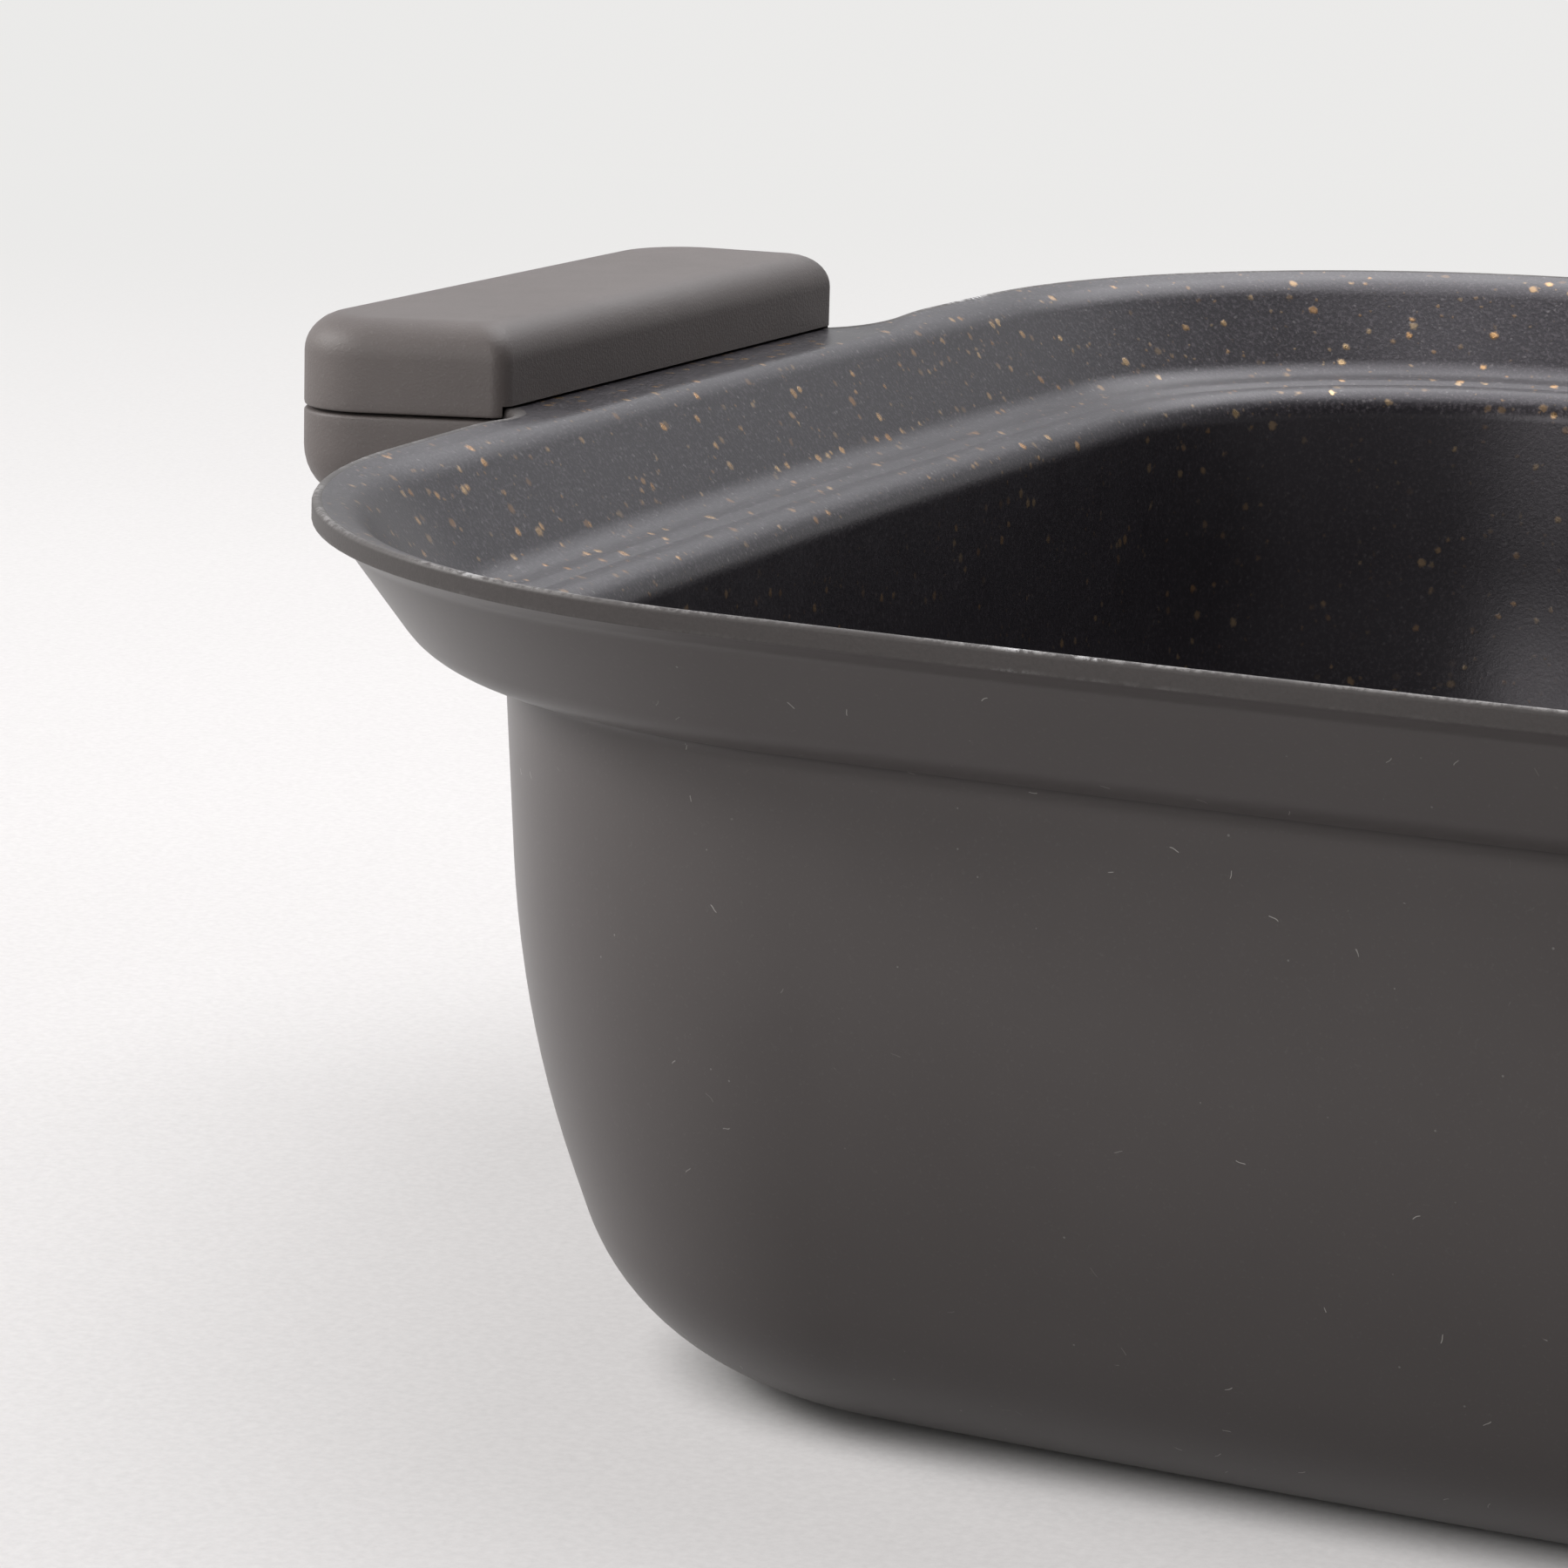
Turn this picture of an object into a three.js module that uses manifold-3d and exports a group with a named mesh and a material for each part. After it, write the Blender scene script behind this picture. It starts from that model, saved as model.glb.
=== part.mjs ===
// Square hot pot: a pressed aluminium pot with a stepped rim and two clamped phenolic side handles.
// Millimetres, +Z up. The pot stands on z = 0 and is centred on the Z axis, with its handles along X.

import * as THREE from 'three';
import { mergeVertices } from 'three/addons/utils/BufferGeometryUtils.js';
import Module from 'manifold-3d';

// Driving dimensions of the pot
const RIM_HALF = 135;              // pot axis to the rim, at the middle of a side
const RIM_CORNER_RADIUS = 64;
const SIDE_BOW_RADIUS = 1660;      // the sides are not straight but very slightly bowed
const RIM_HEIGHT = 79.6;
const SHEET = 2.5;                 // thickness of the pressed sheet at the lip, riser and ears
const DRAWN_SHEET = 2.1;           // the sheet is drawn thinner from the ledge down
const FLOOR = 3;                   // the floor is left a little thicker
const RIM_CUT = 1.95;              // height of the cut rim, towards which the lip gets thinner
const RIM_EDGE_ROUND = 0.5;        // worn upper corner of the cut rim

// Outer side of the pressed profile, as insets from the rim and heights over the table
const LIP_INSET = 2.6;
const LIP_SLOPE = 16;              // degrees, the lip rises towards the rim
const LEDGE_INSET = 9.76;          // where the riser's and the ledge's undersides meet
const LEDGE_DROP = 13.1;           // how far below the rim they meet
const LEDGE_SLOPE = 10;            // degrees, the ledge drains towards the inside
const SEAT_STEP_INSET = 14.2;      // small step that centres a lid on the ledge
const SEAT_STEP_WIDTH = 0.6;
const SEAT_STEP_DROP = 0.4;
const NECK_INSET = 17.3;           // outer wall right under the ledge
const WALL_TAPER = 3.4;            // degrees
const WALL_BEND_HEIGHT = 32.3;     // where the tangents of the curved wall meet
const FOOT_INSET = 30.6;           // where the lower wall's tangent meets the table
const BASE_INSET = 56;             // well inside the flat base
const LIP_BEND = 2.9;              // bend radii on the outer side
const RISER_BEND = 7;
const NECK_BEND = 1.6;
const WALL_BEND = 103.5;
const FOOT_BEND = 22.3;

// Ears of the rim, to which the handles are clamped
const EAR_HALF_WIDTH = 35;
const EAR_ROOT_RADIUS = 14;
const EAR_TIP = 156.4;             // pot axis to the end of the ear
const EAR_TIP_RADIUS = 8;
const EAR_DROP = 1;                // the ear's upper face lies this far below the rim
const EAR_FACE = RIM_HEIGHT - EAR_DROP;
const EAR_BOTTOM = EAR_FACE - SHEET;
const LIP_FLAT_FROM = 36;          // the lip levels off into the ear between these two distances
const LIP_FLAT_TO = 55;

// Handles
const HANDLE_INNER = 138.2;        // pot axis to the handle's inner face
const HANDLE_OUTER = 163.8;
const HANDLE_HALF_LENGTH = 39.6;   // at the inner face
const HANDLE_FLARE = 8.2;          // degrees, by which each end splays outwards
const HANDLE_FALL = 1.5;           // degrees, by which top, seam and bottom fall outwards
const HANDLE_TOP = RIM_HEIGHT + 7.4;
const HANDLE_SEAM = RIM_HEIGHT - 2;
const HANDLE_BOTTOM = RIM_HEIGHT - 12;
const HANDLE_TOP_ROUND = 3.8;
const HANDLE_BOTTOM_ROUND = 6;
const HANDLE_SEAM_ROUND = 0.35;
const HANDLE_OUTER_CORNER = 10.5;  // vertical corners away from the pot
const HANDLE_INNER_CORNER = 1.7;   // vertical corners beside the rim

// Fastening of one handle
const GAP = 0.3;                   // play between neighbouring pieces
const SCREW_X = 148;
const SCREW_Y = 20;
const SCREW_RADIUS = 2;
const SCREW_HEAD_RADIUS = 3.6;
const SCREW_HEAD_HEIGHT = 2.4;
const SCREW_CROWN_RADIUS = 2.6;    // flat middle of the head
const SCREW_CROWN_HEIGHT = 1.1;
const SCREW_POINT = 0.7;
const SCREW_TIP = RIM_HEIGHT + 4.4;
const WASHER_RADIUS = 4.2;
const WASHER_THICKNESS = 0.8;
const POCKET_RADIUS = 4.6;         // counterbore for head and washer
const POCKET_SEAT = HANDLE_BOTTOM + 4.4;
const INSERT_RADIUS = 3.2;
const INSERT_LENGTH = 6;
const INSERT_WAIST = 0.4;          // depth of the waist
const INSERT_WAIST_HALF = 0.8;     // half its height

// Induction plate let into the underside
const PLATE_RADIUS = 80;
const PLATE_THICKNESS = 0.6;
const PLATE_RECESS = 1.2;
const PLATE_HOLE_RADIUS = 2.6;
const PLATE_RINGS = [[22, 8], [44, 16], [66, 24]];   // ring radius and number of holes

// Fineness of the facets
const CORNER_STEPS = 8;
const SIDE_STEPS = 4;
const BEND_STEP = 18;              // degrees of bend per facet, at most
const BEND_TOLERANCE = 0.15;       // how far a facet may lie off its bend
const ROUND_SIDES = 14;
const PLAN_STEPS = 6;              // facets of each arc of the ear
const HANDLE_CORNER_STEPS = 4;
const HANDLE_ROUND_STEPS = 5;

const wasm = await Module();
wasm.setup();

const degrees = THREE.MathUtils.degToRad;
const point = (x, y) => new THREE.Vector2(x, y);

// Solids from closed meshes, for joining and cutting

function toSolid(geometry) {
  const bare = geometry.clone();
  bare.deleteAttribute('normal');
  bare.deleteAttribute('uv');
  const merged = mergeVertices(bare, 1e-4);
  return new wasm.Manifold(new wasm.Mesh({
    numProp: 3,
    vertProperties: new Float32Array(merged.attributes.position.array),
    triVerts: new Uint32Array(merged.index.array),
  }));
}

function toGeometry(solid) {
  const mesh = solid.getMesh();
  const geometry = new THREE.BufferGeometry();
  geometry.setAttribute('position', new THREE.BufferAttribute(mesh.vertProperties, 3));
  geometry.setIndex(new THREE.BufferAttribute(mesh.triVerts, 1));
  geometry.computeVertexNormals();
  return geometry;
}

// A bend of the given radius at corner b of the line a-b-c, as points along its arc
function bendPoints(a, b, c, radius) {
  const back = a.clone().sub(b).normalize();
  const ahead = c.clone().sub(b).normalize();
  const half = Math.acos(THREE.MathUtils.clamp(back.dot(ahead), -1, 1)) / 2;
  const turn = Math.PI - 2 * half;
  const centre = back.clone().add(ahead).normalize().multiplyScalar(radius / Math.sin(half)).add(b);
  const start = back.multiplyScalar(radius / Math.tan(half)).add(b).sub(centre);
  const sign = Math.sign(start.cross(b.clone().sub(centre)));
  const facet = Math.min(degrees(BEND_STEP), 2 * Math.acos(1 - Math.min(1, BEND_TOLERANCE / radius)));
  const steps = Math.max(2, Math.ceil(turn / facet));
  const arc = [];
  for (let i = 0; i <= steps; i += 1) {
    arc.push(start.clone().rotateAround(point(0, 0), sign * turn * i / steps).add(centre));
  }
  return arc;
}

// A line of corners { at, bend } with every inner corner bent to its radius
function bentLine(corners) {
  const line = [corners[0].at];
  for (let i = 1; i < corners.length - 1; i += 1) {
    const { at, bend } = corners[i];
    if (bend > 0) line.push(...bendPoints(corners[i - 1].at, at, corners[i + 1].at, bend));
    else line.push(at);
  }
  line.push(corners[corners.length - 1].at);
  return line;
}

// Where two lines, each given by a point and a direction, cross
function crossing(p, u, q, v) {
  const along = q.clone().sub(p).cross(v) / u.cross(v);
  return p.clone().addScaledVector(u, along);
}

// The other face of a bent sheet: each stretch shifted to its left by its thickness, and the bend
// radii grown or shrunk to suit
function sheetFace(corners, thickness) {
  const runs = corners.slice(1).map((corner, i) => {
    const along = corner.at.clone().sub(corners[i].at).normalize();
    const left = point(-along.y, along.x);
    return { along, from: corners[i].at.clone().addScaledVector(left, thickness[i]), left };
  });
  return corners.map((corner, i) => {
    if (i === 0) return { at: runs[0].from };
    const run = runs[i - 1];
    const next = runs[i];
    if (!next) return { at: corner.at.clone().addScaledVector(run.left, thickness[i - 1]) };
    const turn = Math.sign(run.along.cross(next.along));
    const bend = corner.bend > 0 ? corner.bend - turn * thickness[i - 1] : 0;
    return { at: crossing(run.from, run.along, next.from, next.along), bend };
  });
}

// Plan of the rim: bowed sides and round corners that meet without a kink. Every point keeps its outward
// normal, so an inset outline is the same points moved along their normals.
function rimOutline() {
  const sideOffset = SIDE_BOW_RADIUS - RIM_HALF;
  const reach = SIDE_BOW_RADIUS - RIM_CORNER_RADIUS;
  const corner = (Math.sqrt(2 * reach ** 2 - sideOffset ** 2) - sideOffset) / 2;
  const join = Math.atan2(corner, corner + sideOffset);
  const outline = [];
  const add = (centre, radius, angle) => {
    const normal = point(Math.cos(angle), Math.sin(angle));
    outline.push({ at: normal.clone().multiplyScalar(radius).add(centre), normal });
  };
  for (let side = 0; side < 4; side += 1) {
    const facing = side * Math.PI / 2;
    const sideCentre = point(-sideOffset, 0).rotateAround(point(0, 0), facing);
    const cornerCentre = point(corner, corner).rotateAround(point(0, 0), facing);
    for (const share of sideStations(side, SIDE_BOW_RADIUS * Math.sin(join))) {
      add(sideCentre, SIDE_BOW_RADIUS, facing + join * share);
    }
    for (let i = 0; i < CORNER_STEPS; i += 1) {
      add(cornerCentre, RIM_CORNER_RADIUS, facing + join + (Math.PI / 2 - 2 * join) * i / CORNER_STEPS);
    }
  }
  return outline;
}

// Stations along one side, from -1 to 1. The sides with ears get more, where the lip levels off.
function sideStations(side, halfLength) {
  if (side % 2 === 1) {
    return Array.from({ length: SIDE_STEPS }, (_, i) => 2 * i / SIDE_STEPS - 1);
  }
  const middle = (LIP_FLAT_FROM + LIP_FLAT_TO) / 2;
  const near = [LIP_FLAT_FROM / 3, LIP_FLAT_FROM, middle, LIP_FLAT_TO].map((y) => y / halfLength);
  return [-1, ...near.map((share) => -share).reverse(), ...near];
}

// A closed skin through rings of points, with a fan over the first and the last ring
function skinRings(rings) {
  const count = rings[0].length;
  const position = rings.flat().flatMap((p) => [p.x, p.y, p.z]);
  const index = [];
  for (let r = 0; r + 1 < rings.length; r += 1) {
    for (let i = 0; i < count; i += 1) {
      const a = r * count + i;
      const b = r * count + (i + 1) % count;
      index.push(a, b, b + count, a, b + count, a + count);
    }
  }
  const cap = (ring, flip) => {
    const hub = position.length / 3;
    const middle = rings[ring].reduce((sum, p) => sum.add(p), new THREE.Vector3()).divideScalar(count);
    position.push(middle.x, middle.y, middle.z);
    for (let i = 0; i < count; i += 1) {
      const a = ring * count + i;
      const b = ring * count + (i + 1) % count;
      index.push(...(flip ? [hub, b, a] : [hub, a, b]));
    }
  };
  cap(0, true);
  cap(rings.length - 1, false);
  const geometry = new THREE.BufferGeometry();
  geometry.setAttribute('position', new THREE.Float32BufferAttribute(position, 3));
  geometry.setIndex(index);
  return geometry;
}

// An upright round solid between two heights
function roundBar(x, y, radius, from, to, sides = ROUND_SIDES) {
  const geometry = new THREE.CylinderGeometry(radius, radius, to - from, sides);
  geometry.rotateX(Math.PI / 2);
  geometry.translate(x, y, (from + to) / 2);
  return geometry;
}

// Corners of the pot's outer side, from a cut rim of the given height down to the middle of the base
function outerCorners(cut) {
  const lipEdge = RIM_HEIGHT - SHEET / Math.cos(degrees(LIP_SLOPE));
  const fall = Math.tan(degrees(LEDGE_SLOPE));
  const ledge = RIM_HEIGHT - LEDGE_DROP;
  const step = ledge - (SEAT_STEP_INSET - LEDGE_INSET) * fall;
  const seat = step - SEAT_STEP_DROP;
  const neck = seat - (NECK_INSET - SEAT_STEP_INSET - SEAT_STEP_WIDTH) * fall;
  const bendInset = NECK_INSET + (neck - WALL_BEND_HEIGHT) * Math.tan(degrees(WALL_TAPER));
  return [
    { at: point(0, RIM_HEIGHT - cut) },
    { at: point(LIP_INSET, lipEdge - LIP_INSET * Math.tan(degrees(LIP_SLOPE))), bend: LIP_BEND },
    { at: point(LEDGE_INSET, ledge), bend: RISER_BEND },
    { at: point(SEAT_STEP_INSET, step), bend: 0 },
    { at: point(SEAT_STEP_INSET + SEAT_STEP_WIDTH, seat), bend: 0 },
    { at: point(NECK_INSET, neck), bend: NECK_BEND },
    { at: point(bendInset, WALL_BEND_HEIGHT), bend: WALL_BEND },
    { at: point(FOOT_INSET, 0), bend: FOOT_BEND },
    { at: point(BASE_INSET, 0) },
  ];
}

// Whole section of the pot: up the outer side from the base, over the rim, down the inner side to the floor
function potSection() {
  const outer = outerCorners(RIM_CUT);
  const fullSheet = outerCorners(SHEET / Math.cos(degrees(LIP_SLOPE)));
  const thickness = outer.slice(1).map(() => DRAWN_SHEET);
  thickness.fill(SHEET, 0, 2);
  thickness[thickness.length - 1] = FLOOR;
  const inner = bentLine(sheetFace(fullSheet, thickness)).slice(1);
  const middle = RIM_EDGE_ROUND * (1 - Math.SQRT1_2);
  const rimTop = [
    point(0, RIM_HEIGHT - RIM_EDGE_ROUND),
    point(middle, RIM_HEIGHT - middle),
    point(RIM_EDGE_ROUND, RIM_HEIGHT - RIM_EDGE_ROUND * Math.tan(degrees(LIP_SLOPE))),
  ];
  return [...bentLine(outer).reverse(), ...rimTop, ...inner];
}

// How far the lip sinks at a place of the rim, to run level into the ear
function lipSink(at, inset) {
  if (Math.abs(at.x) < Math.abs(at.y)) return 0;
  const beside = 1 - THREE.MathUtils.smoothstep(Math.abs(at.y), LIP_FLAT_FROM, LIP_FLAT_TO);
  const across = Math.max(0, 1 - inset / (EAR_DROP / Math.tan(degrees(LIP_SLOPE))));
  return EAR_DROP * beside * across;
}

// Plan of the right ear, with its root filleted into the rim, or grown all round for the space that it needs
function earShape(grow = 0) {
  const halfWidth = EAR_HALF_WIDTH + grow;
  const rootRadius = EAR_ROOT_RADIUS - grow;
  const tipRadius = EAR_TIP_RADIUS + grow;
  const root = halfWidth + rootRadius;
  const rim = RIM_HALF - root ** 2 / (2 * SIDE_BOW_RADIUS) + grow;
  const inside = rim - LIP_INSET - grow;
  const shape = new THREE.Shape();
  shape.moveTo(inside, -root);
  shape.lineTo(rim, -root);
  shape.absarc(rim + rootRadius, -root, rootRadius, Math.PI, Math.PI / 2, true);
  shape.absarc(EAR_TIP + grow - tipRadius, tipRadius - halfWidth, tipRadius, -Math.PI / 2, 0);
  shape.absarc(EAR_TIP + grow - tipRadius, halfWidth - tipRadius, tipRadius, 0, Math.PI / 2);
  shape.absarc(rim + rootRadius, root, rootRadius, -Math.PI / 2, -Math.PI, true);
  shape.lineTo(inside, root);
  return shape;
}

// A flat plate of the given plan between two heights
function flatPlate(shape, from, to) {
  const settings = { depth: to - from, bevelEnabled: false, curveSegments: PLAN_STEPS };
  return new THREE.ExtrudeGeometry(shape, settings).translate(0, 0, from);
}

// The four screw holes of the ears
function screwPlaces() {
  return [SCREW_X, -SCREW_X].flatMap((x) => [[x, -SCREW_Y], [x, SCREW_Y]]);
}

function potBody() {
  const outline = rimOutline();
  const rings = potSection().map(({ x: inset, y: height }) => outline.map(({ at, normal }) => {
    const place = at.clone().addScaledVector(normal, -inset);
    return new THREE.Vector3(place.x, place.y, height - lipSink(at, inset));
  }));
  let body = toSolid(skinRings(rings));
  for (const turn of [0, Math.PI]) {
    body = body.add(toSolid(flatPlate(earShape(), EAR_BOTTOM, EAR_FACE).rotateZ(turn)));
  }
  for (const [x, y] of screwPlaces()) {
    body = body.subtract(toSolid(roundBar(x, y, SCREW_RADIUS + GAP, HANDLE_BOTTOM, HANDLE_TOP)));
  }
  const recess = roundBar(0, 0, PLATE_RADIUS + GAP, -PLATE_RECESS, PLATE_RECESS, 4 * ROUND_SIDES);
  return toGeometry(body.subtract(toSolid(recess)));
}

// Thin stainless disc with rings of holes, through which the aluminium of the base grips it
function inductionPlate() {
  const circle = (x, y, radius, sides) => Array.from({ length: sides }, (_, i) => {
    const angle = 2 * Math.PI * i / sides;
    return point(x + radius * Math.cos(angle), y + radius * Math.sin(angle));
  });
  const shape = new THREE.Shape(circle(0, 0, PLATE_RADIUS, 4 * ROUND_SIDES));
  for (const [ringRadius, holes] of PLATE_RINGS) {
    for (const hole of circle(0, 0, ringRadius, holes)) {
      shape.holes.push(new THREE.Path(circle(hole.x, hole.y, PLATE_HOLE_RADIUS, ROUND_SIDES / 2)));
    }
  }
  const top = PLATE_RECESS - GAP;
  return flatPlate(shape, top - PLATE_THICKNESS, top);
}

// Ring of the right handle, drawn in by an inset, with tight corners beside the rim and wide ones outside.
// Its ends splay and its height falls away from the pot.
function handleOutline(inset, height) {
  const near = HANDLE_INNER + inset;
  const far = HANDLE_OUTER - inset;
  const end = HANDLE_HALF_LENGTH - inset;
  const wide = Math.max(HANDLE_OUTER_CORNER - inset, HANDLE_INNER_CORNER);
  const tight = HANDLE_INNER_CORNER;
  const corners = [
    [far - wide, wide - end, wide],
    [far - wide, end - wide, wide],
    [near + tight, end - tight, tight],
    [near + tight, tight - end, tight],
  ];
  const ring = [];
  corners.forEach(([x, y, radius], corner) => {
    for (let i = 0; i <= HANDLE_CORNER_STEPS; i += 1) {
      const angle = (corner - 1 + i / HANDLE_CORNER_STEPS) * Math.PI / 2;
      const out = x + radius * Math.cos(angle) - HANDLE_INNER;
      const splay = 1 + out * Math.tan(degrees(HANDLE_FLARE)) / HANDLE_HALF_LENGTH;
      const along = (y + radius * Math.sin(angle)) * splay;
      ring.push(new THREE.Vector3(HANDLE_INNER + out, along, height - out * Math.tan(degrees(HANDLE_FALL))));
    }
  });
  return ring;
}

// One half of the right handle: from its seam to its rounded top or bottom face
function handleHalf(seam, face, round) {
  const up = Math.sign(face - seam);
  const rings = [
    handleOutline(HANDLE_SEAM_ROUND, seam),
    handleOutline(0, seam + up * HANDLE_SEAM_ROUND),
  ];
  for (let i = 0; i <= HANDLE_ROUND_STEPS; i += 1) {
    const angle = i / HANDLE_ROUND_STEPS * Math.PI / 2;
    rings.push(handleOutline(round * (1 - Math.cos(angle)), face - up * round * (1 - Math.sin(angle))));
  }
  return toSolid(skinRings(up > 0 ? rings : rings.reverse()));
}

function handleUpper() {
  let half = handleHalf(HANDLE_SEAM + GAP / 2, HANDLE_TOP, HANDLE_TOP_ROUND);
  half = half.subtract(toSolid(flatPlate(earShape(GAP), EAR_BOTTOM, EAR_FACE + GAP)));
  for (const y of [-SCREW_Y, SCREW_Y]) {
    const top = EAR_FACE + GAP + INSERT_LENGTH + GAP;
    half = half.subtract(toSolid(roundBar(SCREW_X, y, INSERT_RADIUS + GAP, EAR_BOTTOM, top)));
  }
  return toGeometry(half);
}

function handleLower() {
  let half = handleHalf(HANDLE_SEAM - GAP / 2, HANDLE_BOTTOM, HANDLE_BOTTOM_ROUND);
  half = half.subtract(toSolid(flatPlate(earShape(GAP), EAR_BOTTOM - GAP, EAR_FACE)));
  for (const y of [-SCREW_Y, SCREW_Y]) {
    half = half.subtract(toSolid(roundBar(SCREW_X, y, SCREW_RADIUS + GAP, HANDLE_BOTTOM, EAR_FACE)));
    half = half.subtract(toSolid(roundBar(SCREW_X, y, POCKET_RADIUS, HANDLE_BOTTOM - GAP, POCKET_SEAT)));
  }
  return toGeometry(half);
}

// A turned piece standing on its axis, from its profile of radii and heights
function turned(profile) {
  const geometry = new THREE.LatheGeometry(profile.map(([radius, z]) => point(radius, z)), ROUND_SIDES);
  return geometry.rotateX(Math.PI / 2);
}

function washer() {
  const top = POCKET_SEAT - GAP;
  const bottom = top - WASHER_THICKNESS;
  const bore = SCREW_RADIUS + GAP;
  return turned([[bore, bottom], [WASHER_RADIUS, bottom], [WASHER_RADIUS, top], [bore, top], [bore, bottom]]);
}

// Pan-head screw, head down
function screw() {
  const shoulder = POCKET_SEAT - GAP - WASHER_THICKNESS - GAP;
  const bottom = shoulder - SCREW_HEAD_HEIGHT;
  return turned([
    [0, bottom],
    [SCREW_CROWN_RADIUS, bottom],
    [SCREW_HEAD_RADIUS, bottom + SCREW_CROWN_HEIGHT],
    [SCREW_HEAD_RADIUS, shoulder],
    [SCREW_RADIUS, shoulder],
    [SCREW_RADIUS, SCREW_TIP - SCREW_POINT],
    [SCREW_RADIUS - SCREW_POINT, SCREW_TIP],
    [0, SCREW_TIP],
  ]);
}

// Threaded insert with the waist that locks it into the moulding
function insert() {
  const bottom = EAR_FACE + GAP;
  const top = bottom + INSERT_LENGTH;
  const middle = (bottom + top) / 2;
  const bore = SCREW_RADIUS + GAP;
  const waist = INSERT_RADIUS - INSERT_WAIST;
  return turned([
    [bore, bottom],
    [INSERT_RADIUS, bottom],
    [INSERT_RADIUS, middle - INSERT_WAIST_HALF],
    [waist, middle - INSERT_WAIST_HALF + INSERT_WAIST],
    [waist, middle + INSERT_WAIST_HALF - INSERT_WAIST],
    [INSERT_RADIUS, middle + INSERT_WAIST_HALF],
    [INSERT_RADIUS, top],
    [bore, top],
    [bore, bottom],
  ]);
}

function material(color, roughness, metalness) {
  return new THREE.MeshStandardMaterial({ color, roughness, metalness });
}

const paint = material(0x4d4a48, 0.6, 0.1);
const stainless = material(0xb4b5b6, 0.35, 1);
const phenolic = material(0x5b5754, 0.75, 0);
const steel = material(0xa9abae, 0.4, 1);
const brass = material(0xb8944e, 0.4, 1);

function piece(name, geometry, finish, x = 0, y = 0) {
  const mesh = new THREE.Mesh(geometry, finish);
  mesh.name = name;
  mesh.position.set(x, y, 0);
  return mesh;
}

// One handle with its fastening, drawn on the right side of the pot and turned to its own side
function handle(side, turn) {
  const group = new THREE.Group();
  group.rotation.z = turn;
  group.add(piece(`${side}_handle_upper`, handleUpper(), phenolic));
  group.add(piece(`${side}_handle_lower`, handleLower(), phenolic));
  for (const [end, y] of [['front', -SCREW_Y], ['rear', SCREW_Y]]) {
    const along = y * Math.cos(turn);
    group.add(piece(`${side}_${end}_screw`, screw(), steel, SCREW_X, along));
    group.add(piece(`${side}_${end}_washer`, washer(), steel, SCREW_X, along));
    group.add(piece(`${side}_${end}_insert`, insert(), brass, SCREW_X, along));
  }
  return group;
}

const pot = new THREE.Group();
pot.add(piece('pot_body', potBody(), paint));
pot.add(piece('induction_plate', inductionPlate(), stainless));
pot.add(handle('right', 0));
pot.add(handle('left', Math.PI));

export default pot;
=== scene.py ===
import math

import bmesh
import bpy
from mathutils import Matrix, Vector


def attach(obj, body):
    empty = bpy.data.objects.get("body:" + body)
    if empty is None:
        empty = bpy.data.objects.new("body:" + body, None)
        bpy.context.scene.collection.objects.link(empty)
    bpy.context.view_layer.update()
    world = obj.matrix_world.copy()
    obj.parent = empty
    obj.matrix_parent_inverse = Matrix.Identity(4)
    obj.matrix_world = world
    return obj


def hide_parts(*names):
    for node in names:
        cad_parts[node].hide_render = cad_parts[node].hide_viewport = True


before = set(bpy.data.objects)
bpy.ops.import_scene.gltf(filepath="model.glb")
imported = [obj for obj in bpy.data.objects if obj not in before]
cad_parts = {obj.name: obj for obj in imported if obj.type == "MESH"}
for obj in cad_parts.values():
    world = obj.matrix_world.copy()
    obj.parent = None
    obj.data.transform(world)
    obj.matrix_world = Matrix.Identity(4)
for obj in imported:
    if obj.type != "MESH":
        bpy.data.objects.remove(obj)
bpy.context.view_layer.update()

# Pot body
# One sheet of aluminium, pressed into a square pot with a stepped rim and an ear on two of its sides.
# It is painted a matt warm grey outside and has a dark non-stick coat with gold flecks inside. The cut
# edge of the rim is worn to the bare metal in places.
MM = 0.001
RIM_HALF = 135.0
RIM_CORNER = 64.0
SIDE_BOW = 1660.0
RIM_HEIGHT = 79.6
SHEET = 2.5
DRAWN_SHEET = 2.1
FLOOR = 3.0
LIP_SLOPE = math.radians(16)
LIP_RISE = math.tan(LIP_SLOPE)
LIP_INSET = 2.6
LIP_UNDER = RIM_HEIGHT - SHEET / math.cos(LIP_SLOPE)
LEDGE_FALL = math.tan(math.radians(10))
LEDGE_INSET = 9.76
LEDGE_DROP = 13.1
LEDGE_HEIGHT = RIM_HEIGHT - LEDGE_DROP
STEP_INSET = 13.9
STEP_WIDTH = 1.2
STEP_DROP = 0.45
STEP_HEIGHT = LEDGE_HEIGHT - (STEP_INSET - LEDGE_INSET) * LEDGE_FALL
SEAT_HEIGHT = STEP_HEIGHT - STEP_DROP
NECK_INSET = 17.3
NECK_HEIGHT = SEAT_HEIGHT - (NECK_INSET - STEP_INSET - STEP_WIDTH) * LEDGE_FALL
WALL_TAPER = math.tan(math.radians(3.4))
WALL_BEND_HEIGHT = 32.3
WALL_BEND_INSET = NECK_INSET + (NECK_HEIGHT - WALL_BEND_HEIGHT) * WALL_TAPER
FOOT_INSET = 30.6
BASE_INSET = 50.0
LIP_BEND = 2.9
RISER_BEND = 7
STEP_BEND = 0.8
SEAT_BEND = 3.0
NECK_BEND = 1.6
WALL_BEND = 103.5
FOOT_BEND = 22.3
RIM_CUT = 1.95
CUT_FROM = RIM_HEIGHT - RIM_CUT
EDGE_REACH = 0.9
LOWER_EDGE_ROUND = 0.2
UPPER_EDGE_ROUND = 0.45
EAR_HALF_WIDTH = 35.0
EAR_ROOT = 14.0
EAR_TIP = 156.4
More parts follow.
